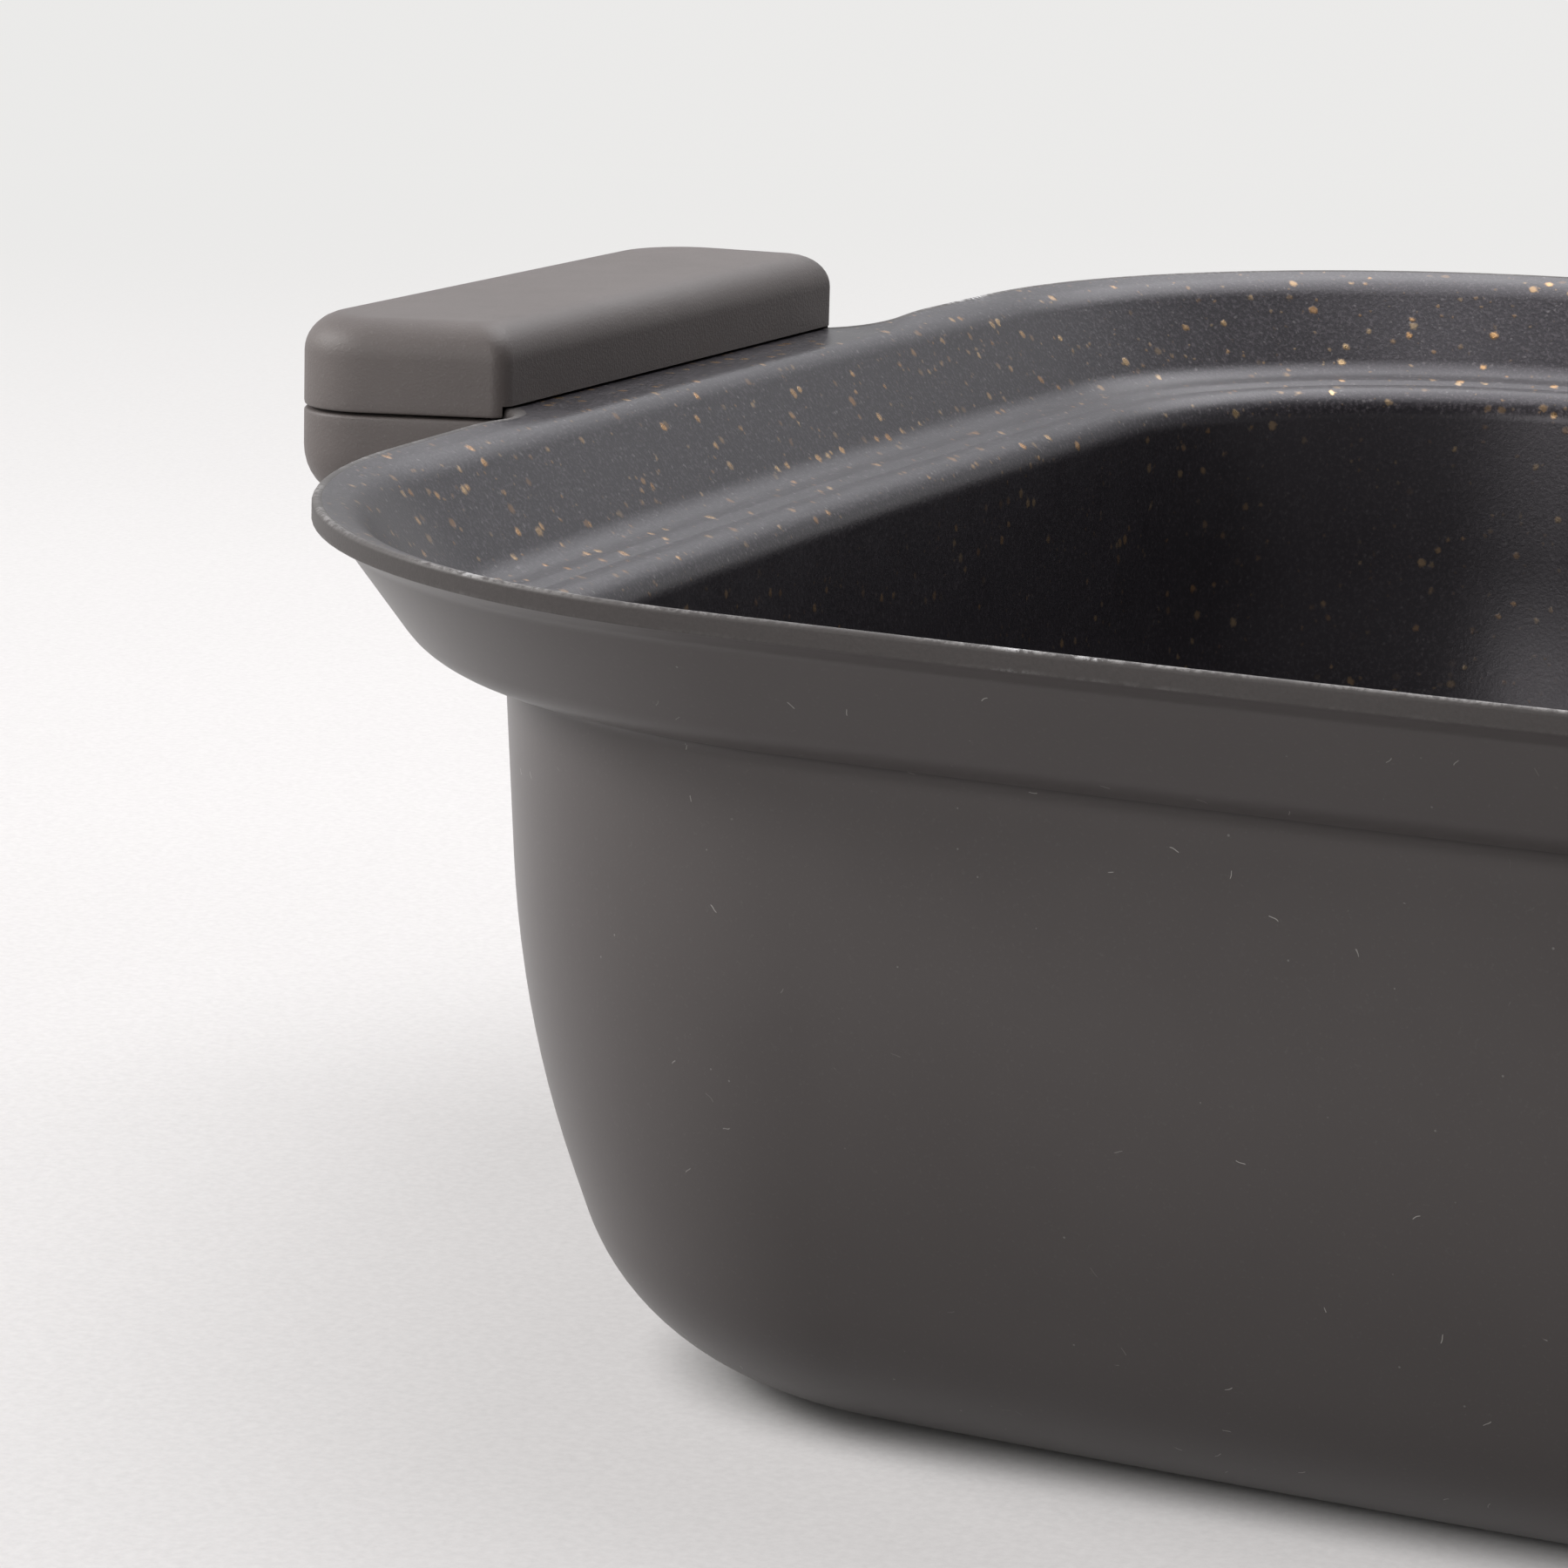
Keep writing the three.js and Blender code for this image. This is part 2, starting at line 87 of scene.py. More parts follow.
EAR_TIP_ROUND = 8.0
EAR_DROP = 1.0
LIP_FLAT_FROM = 36.0
LIP_FLAT_TO = 55.0
PLATE_SPACE = 80.3
PLATE_RECESS = 1.2
WEAR_HEIGHT = 0.93  # a share of the cut edge's height, where the coat starts
WEAR_REACH = 0.14
LOWER_WEAR_HEIGHT = 0.03
LOWER_WEAR_REACH = 0.1
LOWER_WEAR = 0.12
PAINTED, CUT, COATED = 0, 1, 2
BARE_METAL = (0.88, 0.88, 0.89, 1)
LARGEST_FACET = math.radians(9)
FACET_DEPTH = 0.01


def bend(a, b, c, radius):
    """Points along a bend of that radius at corner b of the line a-b-c."""
    back = (a - b).normalized()
    ahead = (c - b).normalized()
    half = math.acos(max(-1.0, min(1.0, back.dot(ahead)))) / 2
    turn = math.pi - 2 * half
    centre = b + (back + ahead).normalized() * (radius / math.sin(half))
    start = b + back * (radius / math.tan(half)) - centre
    side = math.copysign(1, start.cross(b - centre))
    facet = min(LARGEST_FACET, 2 * math.acos(1 - FACET_DEPTH / max(radius, 0.1)))
    steps = max(3, math.ceil(turn / facet))
    return [centre + Matrix.Rotation(side * turn * i / steps, 2) @ start for i in range(steps + 1)]


def bent_line(corners):
    """The line through (corner, bend radius) pairs, with every inner corner bent to its radius."""
    line = [corners[0][0]]
    for (a, _), (b, radius), (c, _) in zip(corners, corners[1:], corners[2:]):
        line += bend(a, b, c, radius) if radius else [b]
    return line + [corners[-1][0]]


def other_face(corners, thickness):
    """The left face of a bent sheet whose right face is given, with the bend radii to suit."""
    runs = []
    for (a, _), (b, _), depth in zip(corners, corners[1:], thickness):
        along = (b - a).normalized()
        left = Vector((-along.y, along.x)) * depth
        runs.append((along, a + left, b + left, depth))
    face = [(runs[0][1], 0)]
    for (along, start, _, depth), (onward, onward_start, _, _), (_, radius) in zip(runs, runs[1:], corners[1:]):
        turn = along.cross(onward)
        place = start + along * ((onward_start - start).cross(onward) / turn)
        face.append((place, radius - math.copysign(depth, turn) if radius else 0))
    return face + [(runs[-1][2], 0)]


def outer_corners(edge_height):
    """Corners of the pot's outer side and their bends, from the rim's lower edge to the flat base."""
    return [(Vector(at), radius) for at, radius in (
        ((0, edge_height), 0),
        ((LIP_INSET, LIP_UNDER - LIP_INSET * LIP_RISE), LIP_BEND),
        ((LEDGE_INSET, LEDGE_HEIGHT), RISER_BEND),
        ((STEP_INSET, STEP_HEIGHT), STEP_BEND),
        ((STEP_INSET + STEP_WIDTH, SEAT_HEIGHT), SEAT_BEND),
        ((NECK_INSET, NECK_HEIGHT), NECK_BEND),
        ((WALL_BEND_INSET, WALL_BEND_HEIGHT), WALL_BEND),
        ((FOOT_INSET, 0), FOOT_BEND),
        ((BASE_INSET, 0), 0),
    )]


OUTER = outer_corners(CUT_FROM)
INNER = other_face(outer_corners(LIP_UNDER), [SHEET] * 2 + [DRAWN_SHEET] * (len(OUTER) - 4) + [FLOOR])
UNDERSIDE = (OUTER[1][0] - OUTER[0][0]) / LIP_INSET
CUT_EDGE = [(Vector(at), radius) for at, radius in (
    (OUTER[0][0] + UNDERSIDE * EDGE_REACH, 0),
    ((0, CUT_FROM), LOWER_EDGE_ROUND),
    ((0, CUT_FROM + 0.4), 0),
    ((0, RIM_HEIGHT - 0.6), 0),
    ((0, RIM_HEIGHT), UPPER_EDGE_ROUND),
    ((EDGE_REACH, RIM_HEIGHT - EDGE_REACH * LIP_RISE), 0),
)]


class Ring:
    """One line round the pot: an inset from the rim, or a circle, at a height, and the finish from it to the next."""

    def __init__(self, inset, height, finish, ear=0.0, wear=0.0, circle=None):
        self.place = (inset, circle or 0.0, height)
        level = max(0.0, 1 - inset * LIP_RISE / EAR_DROP)
        self.share = (ear, level, 0.0 if circle is None else 1.0)
        self.finish = (finish, wear, 0.0)


def section_rings():
    """The pot's whole section, from the middle of its underside over the rim to the middle of its floor."""
    edge = PLATE_SPACE
    rings = [Ring(0, height, PAINTED, circle=radius) for radius, height in (
        (0, PLATE_RECESS), (edge / 2, PLATE_RECESS), (edge - 0.6, PLATE_RECESS), (edge, PLATE_RECESS),
        (edge, 0.5), (edge, 0.2), (edge + 0.06, 0.06), (edge + 0.2, 0), (edge + 0.9, 0))]
    rings += [Ring(p.x, p.y, PAINTED) for p in reversed(bent_line(OUTER)[1:])]
    rim = bent_line(CUT_EDGE)
    shares = (0, 0.35, 0.7)
    rings += [Ring(rim[0].x, rim[0].y, PAINTED, ear=share) for share in shares]
    for p in rim:
        up = (p.y - CUT_FROM) / (RIM_HEIGHT - CUT_FROM)
        finish = PAINTED if up < 0 else CUT if up < WEAR_HEIGHT else COATED
        worn = max(0, 1 - abs(up - WEAR_HEIGHT) / WEAR_REACH)
        worn += LOWER_WEAR * max(0, 1 - abs(up - LOWER_WEAR_HEIGHT) / LOWER_WEAR_REACH)
        rings.append(Ring(p.x, p.y, finish, ear=1, wear=worn))
    rings += [Ring(rim[-1].x, rim[-1].y, COATED, ear=share) for share in reversed(shares)]
    rings += [Ring(p.x, p.y, COATED) for p in bent_line(INNER)[1:]]
    return rings + [Ring(0, FLOOR, COATED, circle=radius) for radius in (60, 40, 20, 0)]


class Station:
    """One place of the rim's plan: on the rim and on the ear's edge, each with its outward direction."""

    def __init__(self, place, outward, ear_place=None, ear_outward=None, turn=0):
        spin = Matrix.Rotation(turn, 3, "Z")
        rim = spin @ place.to_3d()
        self.place = rim
        self.outward = spin @ outward.to_3d()
        self.ear_place = spin @ (ear_place or place).to_3d()
        self.ear_outward = spin @ (ear_outward or outward).to_3d()
        past = min(1, max(0, (abs(rim.y) - LIP_FLAT_FROM) / (LIP_FLAT_TO - LIP_FLAT_FROM)))
        beside = 1 - past * past * (3 - 2 * past) if abs(rim.x) > abs(rim.y) else 0
        self.flat = (beside, 0.0, 0.0)


def ear_edge():
    """(distance from the ear's middle, ear's edge, its outward direction) along half an ear, outwards."""
    tip = EAR_TIP - EAR_TIP_ROUND
    root = EAR_HALF_WIDTH + EAR_ROOT
    rim = RIM_HALF - root ** 2 / (2 * SIDE_BOW)
    edge = []
    for y in (0, 7, 14, 21):
        edge.append((y, Vector((EAR_TIP, y)), Vector((1, 0))))
    for i in range(9):
        turn = math.pi / 2 * (1 - i / 8)
        y = EAR_HALF_WIDTH - EAR_TIP_ROUND + EAR_TIP_ROUND * math.cos(turn)
        out = Vector((math.sin(turn), math.cos(turn)))
        edge.append((y, Vector((tip + EAR_TIP_ROUND * math.sin(turn), y)), out))
    for i in range(1, 13):
        turn = math.pi / 2 * (1 - i / 12)
        y = root - EAR_ROOT * math.sin(turn)
        out = Vector((math.cos(turn), math.sin(turn)))
        edge.append((y, Vector((rim + EAR_ROOT * (1 - math.cos(turn)), y)), out))
    return edge


def rim_stations(corner_steps=30, side_steps=14):
    """The rim's plan, side by side: bowed sides and round corners that meet without a kink."""
    offset = SIDE_BOW - RIM_HALF
    reach = SIDE_BOW - RIM_CORNER
    corner = (math.sqrt(2 * reach ** 2 - offset ** 2) - offset) / 2
    join = math.atan2(corner, corner + offset)
    half_side = SIDE_BOW * math.sin(join)
    ear = ear_edge()
    beyond = [(y, None, None) for y in (51, 53, 55, 60, 66)]
    mirrored = [(-y, e and Vector((e.x, -e.y)), o and Vector((o.x, -o.y))) for y, e, o in ear[1:] + beyond]
    eared = [(-half_side, None, None)] + mirrored[::-1] + ear + beyond
    plain = [(half_side * (2 * i / side_steps - 1), None, None) for i in range(side_steps)]
    stations = []
    for side in range(4):
        turn = side * math.pi / 2
        for y, ear_place, ear_out in plain if side % 2 else eared:
            angle = math.asin(y / SIDE_BOW)
            out = Vector((math.cos(angle), math.sin(angle)))
            stations.append(Station(Vector((-offset, 0)) + out * SIDE_BOW, out, ear_place, ear_out, turn))
        for i in range(corner_steps):
            angle = join + (math.pi / 2 - 2 * join) * i / corner_steps
            out = Vector((math.cos(angle), math.sin(angle)))
            stations.append(Station(Vector((corner, corner)) + out * RIM_CORNER, out, turn=turn))
    return stations


class Wire:
    """A socket of a node tree. Sums between wires and numbers add Math or Vector Math nodes to the tree."""

    def __init__(self, socket):
        self.socket = socket
        self.board = Board(socket.id_data)

    def out(self, name):
        """Another output of the node that this wire comes from."""
        return Wire(self.socket.node.outputs[name])

    def join(self, operation, first, second=None):
        vectors = [w for w in (first, second) if isinstance(w, Wire) and w.socket.type in ("VECTOR", "RGBA")]
        values = {0: first} if second is None else {0: first, 1: second}
        if not vectors:
            return self.board.add("ShaderNodeMath", {"operation": operation}, values)
        if operation == "MULTIPLY" and len(vectors) == 1:
            size = second if vectors[0] is first else first
            return self.board.add("ShaderNodeVectorMath", {"operation": "SCALE"}, {0: vectors[0], "Scale": size})
        return self.board.add("ShaderNodeVectorMath", {"operation": operation}, values)

    def __add__(self, other):
        return self.join("ADD", self, other)

    def __radd__(self, other):
        return self.join("ADD", other, self)

    def __sub__(self, other):
        return self.join("SUBTRACT", self, other)

    def __rsub__(self, other):
        return self.join("SUBTRACT", other, self)

    def __mul__(self, other):
        return self.join("MULTIPLY", self, other)

    def __rmul__(self, other):
        return self.join("MULTIPLY", other, self)

    def __truediv__(self, other):
        return self.join("DIVIDE", self, other)

    def __rtruediv__(self, other):
        return self.join("DIVIDE", other, self)

    def floor(self):
        return self.join("FLOOR", self)

    def size(self):
        return self.join("ABSOLUTE", self)

    def most(self, other):
        return self.join("MAXIMUM", self, other)

    def least(self, other):
        return self.join("MINIMUM", self, other)

    def part(self, axis):
        """One of a vector's three numbers."""
        return self.board.add("ShaderNodeSeparateXYZ", {}, {0: self}).out(axis)

    def length(self):
        return self.join("LENGTH", self).out("Value")

    def dot(self, other):
        return self.join("DOT_PRODUCT", self, other).out("Value")

    def aimed(self):
        """The vector's direction, one unit long."""
        return self.join("NORMALIZE", self)

    def step(self, low, high):
        """0 below low, 1 above high and a soft rise between them."""
        limits = {"Value": self, "From Min": low, "From Max": high}
        return self.board.add("ShaderNodeMapRange", {"interpolation_type": "SMOOTHSTEP"}, limits)

    def pick(self, low, high):
        """A colour between two colours, or a vector between two vectors, by this wire's value."""
        if isinstance(low, Wire) and low.socket.type == "VECTOR":
            return self.board.add("ShaderNodeMix", {"data_type": "VECTOR"}, {0: self, 4: low, 5: high}, 1)
        return self.board.add("ShaderNodeMix", {"data_type": "RGBA"}, {0: self, 6: low, 7: high}, 2)


class Board:
    """A node tree that is being wired up."""

    def __init__(self, tree):
        self.tree = tree

    def add(self, kind, settings=None, sockets=None, output=0):
        """A node of that kind: its settings first, then the values or wires of its sockets."""
        node = self.tree.nodes.new(kind)
        for name, value in (settings or {}).items():
            setattr(node, name, value)
        for name, value in (sockets or {}).items():
            socket = node.inputs[name]
            if isinstance(value, Wire):
                self.tree.links.new(value.socket, socket)
            else:
                socket.default_value = value
        return Wire(node.outputs[output]) if node.outputs else None


def geometry_tree(name, inputs):
    """A Geometry Nodes tree with these named inputs: (its board, the wire of its geometry, wires by name)."""
    tree = bpy.data.node_groups.new(name, "GeometryNodeTree")
    tree.interface.new_socket("Geometry", in_out="INPUT", socket_type="NodeSocketGeometry")
    for label, kind in inputs.items():
        tree.interface.new_socket(label, in_out="INPUT", socket_type=kind)
    tree.interface.new_socket("Geometry", in_out="OUTPUT", socket_type="NodeSocketGeometry")
    board = Board(tree)
    given = board.add("NodeGroupInput")
    return board, given, {label: given.out(label) for label in inputs}


def mesh_object(name, mesh):
    """An object for the mesh, at the origin of the scene."""
    piece = bpy.data.objects.new(name, mesh)
    bpy.context.scene.collection.objects.link(piece)
    return piece


def grown(piece, tree, values):
    """The piece's mesh as the tree makes it from the values, by input name, in place of its own mesh."""
    modifier = piece.modifiers.new(tree.name, "NODES")
    modifier.node_group = tree
    for item in tree.interface.items_tree:
        if item.in_out == "INPUT" and item.name in values:
            modifier[item.identifier] = values[item.name]
    return settled(piece)


def settled(piece):
    """The piece with its modifiers made into a plain mesh."""
    bpy.context.view_layer.update()
    made = piece.evaluated_get(bpy.context.evaluated_depsgraph_get())
    mesh = bpy.data.meshes.new_from_object(made, preserve_all_data_layers=True,
                                           depsgraph=bpy.context.evaluated_depsgraph_get())
    piece.modifiers.clear()
    old = piece.data
    piece.data = mesh
    bpy.data.meshes.remove(old)
    mesh.name = piece.name
    return piece


def points_object(name, items, fields):
    """Loose points at each item's place in mm, with its other fields stored as vector attributes."""
    mesh = bpy.data.meshes.new(name)
    mesh.from_pydata([Vector(item.place) * MM for item in items], [], [])
    for field, scale in fields.items():
        layer = mesh.attributes.new(field, "FLOAT_VECTOR", "POINT")
        for value, item in zip(layer.data, items):
            value.vector = Vector(getattr(item, field)) * scale
    return mesh_object(name, mesh)


def pressed_pot_tree():
    """A grid of rim stations by section rings, laid round the pot and closed where its points meet."""
    board, given, size = geometry_tree("pressed_pot", {
        "Section": "NodeSocketObject", "Stations": "NodeSocketInt", "Rings": "NodeSocketInt",
        "Ear drop": "NodeSocketFloat", "Paint": "NodeSocketMaterial", "Cut metal": "NodeSocketMaterial",
        "Coat": "NodeSocketMaterial"})
    section = board.add("GeometryNodeObjectInfo", {}, {"Object": size["Section"]}).out("Geometry")
    grid = board.add("GeometryNodeMeshGrid", {}, {
        "Vertices X": size["Stations"] + 1, "Vertices Y": size["Rings"]})
    index = board.add("GeometryNodeInputIndex")

    def field(name):
        return board.add("GeometryNodeInputNamedAttribute", {"data_type": "FLOAT_VECTOR"}, {"Name": name})

    def read(source, value, at):
        return board.add("GeometryNodeSampleIndex", {"data_type": "FLOAT_VECTOR", "clamp": True},
                         {"Geometry": source, "Value": value, "Index": at})

    def split(vector):
        parts = board.add("ShaderNodeSeparateXYZ", {}, {0: vector})
        return parts, parts.out("Y"), parts.out("Z")

    row = (index / size["Rings"]).floor()
    ring = index - row * size["Rings"]
    station = row - size["Stations"] * (row / size["Stations"]).floor()
    position = board.add("GeometryNodeInputPosition")
    inset, circle, height = split(read(section, position, ring))
    ear, level, is_round = split(read(section, field("share"), ring))
    wear = split(read(section, field("finish"), ring))[1]
    rim = read(given, position, station)
    on_rim = rim - read(given, field("outward"), station) * inset
    on_ear = read(given, field("ear_place"), station) - read(given, field("ear_outward"), station) * inset
    flat = is_round.pick(ear.pick(on_rim, on_ear), rim.aimed() * circle)
    beside = split(read(given, field("flat"), station))[0]
    lift = board.add("ShaderNodeCombineXYZ", {}, {"Z": height - size["Ear drop"] * beside * level * (1 - is_round)})
    laid = board.add("GeometryNodeSetPosition", {}, {"Geometry": grid, "Position": flat + lift})
    laid = board.add("GeometryNodeStoreNamedAttribute", {"data_type": "FLOAT", "domain": "POINT"},
                     {"Geometry": laid, "Name": "wear", "Value": wear * (1 - beside)})
    bands = size["Rings"] - 1
    band = index - bands * (index / bands).floor()
    finish = split(read(section, field("finish"), band))[0]
    laid = board.add("GeometryNodeStoreNamedAttribute", {"data_type": "FLOAT", "domain": "FACE"},
                     {"Geometry": laid, "Name": "finish", "Value": finish})
    laid = board.add("GeometryNodeMergeByDistance", {}, {"Geometry": laid, "Distance": 0.005 * MM})
    laid = board.add("GeometryNodeRealizeInstances", {}, {"Geometry": laid})
    laid_finish = board.add("GeometryNodeInputNamedAttribute", {"data_type": "FLOAT"}, {"Name": "finish"})
    for code, label in ((PAINTED, "Paint"), (CUT, "Cut metal"), (COATED, "Coat")):
        chosen = board.add("FunctionNodeCompare", {"data_type": "FLOAT", "operation": "EQUAL"}, {
            0: laid_finish, 1: float(code), "Epsilon": 0.1})
        laid = board.add("GeometryNodeSetMaterial", {}, {
            "Geometry": laid, "Selection": chosen, "Material": size[label]})
    board.add("NodeGroupOutput", {}, {0: laid})
    return board.tree


def finish_board(name):
    """A new material's board, with the wire of the place on the object, in metres."""
    material = bpy.data.materials.new(name)
    material.use_nodes = True
    material.node_tree.nodes.clear()
    board = Board(material.node_tree)
    return material, board, board.add("ShaderNodeTexCoord").out("Object")


def surface(board, sockets):
    """Closes a material with one shader that has these socket values or wires."""
    shader = board.add("ShaderNodeBsdfPrincipled", {}, sockets)
    board.add("ShaderNodeOutputMaterial", {}, {"Surface": shader})


def noise(board, place, size, detail=2.0, rough=0.5, shift=0.0):
    """Noise from 0 to 1 with lumps of about that size in mm."""
    moved = place + Vector((shift, shift, shift)) * MM if shift else place
    return board.add("ShaderNodeTexNoise", {}, {
        "Vector": moved, "Scale": 1 / (size * MM), "Detail": detail, "Roughness": rough})


def pushed(place, lumps, reach):
    """The place pushed about by the noise, over that reach in mm, so that what is drawn there comes out uneven."""
    return place + (lumps.out("Color") - Vector((0.5, 0.5, 0.5))) * (reach * MM)


def relief(height, strength, depth):
    """A fine relief of that depth in mm, for a shader's Normal."""
    return height.board.add("ShaderNodeBump", {}, {"Strength": strength, "Distance": depth * MM, "Height": height})


def flecks(board, place, spacing, largest, share, soft):
    """Round flecks scattered through a finish: (how much of a fleck lies here, the fleck's own random values)."""
    cell = board.add("ShaderNodeTexVoronoi", {}, {"Vector": place, "Scale": 1 / (spacing * MM)})
    chance = board.add("ShaderNodeSeparateColor", {}, {0: cell.out("Color")})
    chosen = ((chance - (1 - share)) / share).most(0)
    radius = chosen * (largest / spacing)
    return ((radius - cell.out("Distance")) * (spacing / soft)).most(0).least(1), chance


def hairs(board, place, spacing, length, width, share):
    """Short fine hairs of dust that lie flat on the surface, one in a share of the cells."""
    facing = board.add("ShaderNodeNewGeometry").out("Normal")
    bowed = pushed(place, noise(board, place, 1.5, 1.0), 0.9)
    cell = board.add("ShaderNodeTexVoronoi", {}, {"Vector": bowed, "Scale": 1 / (spacing * MM)})
    chance = board.add("ShaderNodeSeparateColor", {}, {0: cell.out("Color")})
    aim = cell.out("Color") - Vector((0.5, 0.5, 0.5))
    aim = (aim - facing * aim.dot(facing)).aimed()
    local = bowed - cell.out("Position")
    off = local.dot(facing)
    along = local.dot(aim)
    across = (local - facing * off - aim * along).length()
    thin = 1 - across.step(0.5 * width * MM, width * MM)
    short = 1 - along.size().step(0.35 * length * MM, 0.5 * length * MM)
    close = 1 - off.size().step(0.3 * MM, 0.4 * MM)
    return thin * short * close * chance.out("Green").step(1 - share, 1 - share + 0.01)


def rim_wear(board, place, least, chipped):
    """Wear along the rim's edges, in chips within patches: (where it is rubbed, where it is bare, the chips)."""
    wear = board.add("ShaderNodeAttribute", {"attribute_name": "wear"}).out("Fac")
    chips = noise(board, place, 0.7, 3.0, 0.7)
    patch = noise(board, place, 26.0, 3.0, 0.7)
    rubbed = (wear * (least + chips.step(0.4, chipped) * patch.step(0.36, 0.6))).least(1)
    bare = (wear * patch.step(0.58, 0.68) * chips.step(0.42, 0.58)).least(1)
    return rubbed, bare, chips


def outside_paint():
    """Matt warm grey paint with a fine grain, some dust and a few hairs of lint in patches."""
    material, board, place = finish_board("grey_outside_paint")
    grain = noise(board, place, 0.35, 3.0, 0.6)
    mottle = noise(board, place, 18.0, 3.0, 0.6)
    rub = noise(board, place, 60.0, 4.0, 0.65, 40.0)
    colour = mottle.pick((0.093, 0.083, 0.082, 1), (0.107, 0.096, 0.095, 1))
    colour = (grain.step(0.55, 0.8) * 0.25).pick(colour, (0.17, 0.16, 0.155, 1))
    fine_dust, _ = flecks(board, place, 1.8, 0.14, 0.4, 0.06)
    dust, chance = flecks(board, place, 5.0, 0.2, 0.3, 0.1)
    colour = (fine_dust * 0.5).pick(colour, (0.34, 0.33, 0.32, 1))
    colour = (dust * (0.25 + 0.5 * chance.out("Green"))).pick(colour, (0.46, 0.44, 0.43, 1))
    lint = hairs(board, place, 2.6, 0.9, 0.05, 0.22) * rub.step(0.42, 0.58)
    colour = (lint * 0.85).pick(colour, (0.5, 0.48, 0.46, 1))
    surface(board, {"Base Color": colour, "Roughness": 0.5 + rub * 0.14, "Specular IOR Level": 0.12,
                    "Coat Weight": 0.6, "Coat Roughness": 0.3, "Coat IOR": 1.3, "Normal": relief(grain, 0.25, 0.05)})
    return material


def cut_rim():
    """The cut edge: painted, rubbed light along its corners and bare metal in patches."""
    material, board, place = finish_board("worn_cut_rim")
    grain = noise(board, place, 0.3, 3.0, 0.6)
    rubbed, bare, chips = rim_wear(board, place, 0.18, 0.65)
    colour = grain.pick((0.052, 0.046, 0.045, 1), (0.08, 0.072, 0.07, 1))
    colour = rubbed.pick(colour, (0.3, 0.288, 0.282, 1))
    colour = bare.pick(colour, BARE_METAL)
    surface(board, {"Base Color": colour, "Metallic": bare, "Roughness": 0.5 - bare * 0.2,
                    "Specular IOR Level": 0.25, "Normal": relief(grain + chips, 0.25, 0.08)})
    return material


def inside_coat():
    """Dark non-stick coat with gold flecks. Its level faces get lighter grain and more, lighter flecks than its
    upright walls: painted light on the faces that face up.
    """
    material, board, place = finish_board("flecked_inside_coat")
    ragged = pushed(place, noise(board, place, 0.6, 3.0, 0.6), 0.7)
    grain = noise(board, place, 0.45, 3.0, 0.7)
    mottle = noise(board, place, 7.0, 4.0, 0.6)
    # The flecks are real, but grain and flecks are lighter and more on faces that face up and fewer and darker on
    # upright walls: painted light and shade by how the faces are turned.
    level = board.add("ShaderNodeNewGeometry").out("Normal").part("Z").step(0.12, 0.42)
    colour = mottle.pick((0.0175, 0.0158, 0.0187, 1), (0.0285, 0.0258, 0.03, 1))
    colour = (grain.step(0.45, 0.72) * (0.3 + 0.5 * level)).pick(colour, (0.098, 0.087, 0.097, 1))
    fine, _ = flecks(board, ragged, 0.7, 0.26, 0.5, 0.14)
    colour = (fine * (0.2 + 0.4 * level)).pick(colour, (0.19, 0.176, 0.178, 1))
    small, _ = flecks(board, ragged, 1.0, 0.34, 0.4, 0.18)
    gold, chance = flecks(board, ragged, 1.55, 0.7, 0.5, 0.3)
    bold = chance.out("Blue")
    gold = gold * ((0.2 + 0.65 * bold) * level + (bold - 0.45).most(0) * (1 - level) * 0.8)
    gold = gold.most(small * (0.1 + 0.25 * level))
    tint = chance.out("Green").pick((0.5, 0.29, 0.13, 1), (0.58, 0.42, 0.24, 1))
    colour = gold.pick(colour, tint)
    rubbed, bare, _ = rim_wear(board, place, 0.1, 0.7)
    colour = rubbed.pick(colour, (0.25, 0.243, 0.24, 1))
    colour = bare.pick(colour, BARE_METAL)
    surface(board, {"Base Color": colour, "Metallic": (bare + 1.25 * gold).least(1),
                    "Roughness": 0.2 + grain * 0.2 + mottle * 0.1 - gold * 0.1,
                    "Specular Tint": (0.985, 0.945, 1, 1), "Normal": relief(grain + gold, 0.5, 0.06)})
    return material


rings = section_rings()
stations = rim_stations()
section = points_object("pot_section", rings, {"share": 1, "finish": 1})
pot = points_object("pot_pressed_body", stations, {
    "outward": 1, "ear_place": MM, "ear_outward": 1, "flat": 1})
grown(pot, pressed_pot_tree(), {
    "Section": section, "Stations": len(stations), "Rings": len(rings), "Ear drop": EAR_DROP * MM,
    "Paint": outside_paint(), "Cut metal": cut_rim(), "Coat": inside_coat()})
bpy.data.objects.remove(section)
pot.data.shade_smooth()
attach(pot, "root")
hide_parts("pot_body")

# Induction plate
# A thin stainless disc pressed into the underside, so that the pot also heats on an induction hob.
# Studs of the base's own aluminium come through its three rings of holes and are flattened to grip it.
PLATE_RADIUS = 80.0
PLATE_BOTTOM = 0.3
PLATE_TOP = 0.9
HOLE_RADIUS = 2.6
HOLE_RINGS = ((22, 8), (44, 16), (66, 24))


def turned(profile, sides, ridge=None):
    """A piece turned about the Z axis from (radius, height) pairs in mm, closed where the radius is 0."""
    shape = bmesh.new()
    rows = []
    for radius, height in profile:
        if radius == 0:
            rows.append([shape.verts.new((0, 0, height * MM))] * sides)
            continue
        row = []
        for i in range(sides):
            angle = 2 * math.pi * i / sides
            reach = radius + (ridge(angle, radius, height) if ridge else 0)
            row.append(shape.verts.new(Vector((math.cos(angle) * reach, math.sin(angle) * reach, height)) * MM))
        rows.append(row)
    for low, high in zip(rows, rows[1:]):
        for i in range(sides):
            j = (i + 1) % sides
            corners = list(dict.fromkeys((low[i], low[j], high[j], high[i])))
            if len(corners) > 2:
                shape.faces.new(corners)
    bmesh.ops.remove_doubles(shape, verts=shape.verts, dist=1e-7)
    bmesh.ops.recalc_face_normals(shape, faces=shape.faces)
    mesh = bpy.data.meshes.new("turned")
    shape.to_mesh(mesh)
    shape.free()
    mesh.shade_smooth()
    mesh.set_sharp_from_angle(angle=math.radians(35))
    return mesh


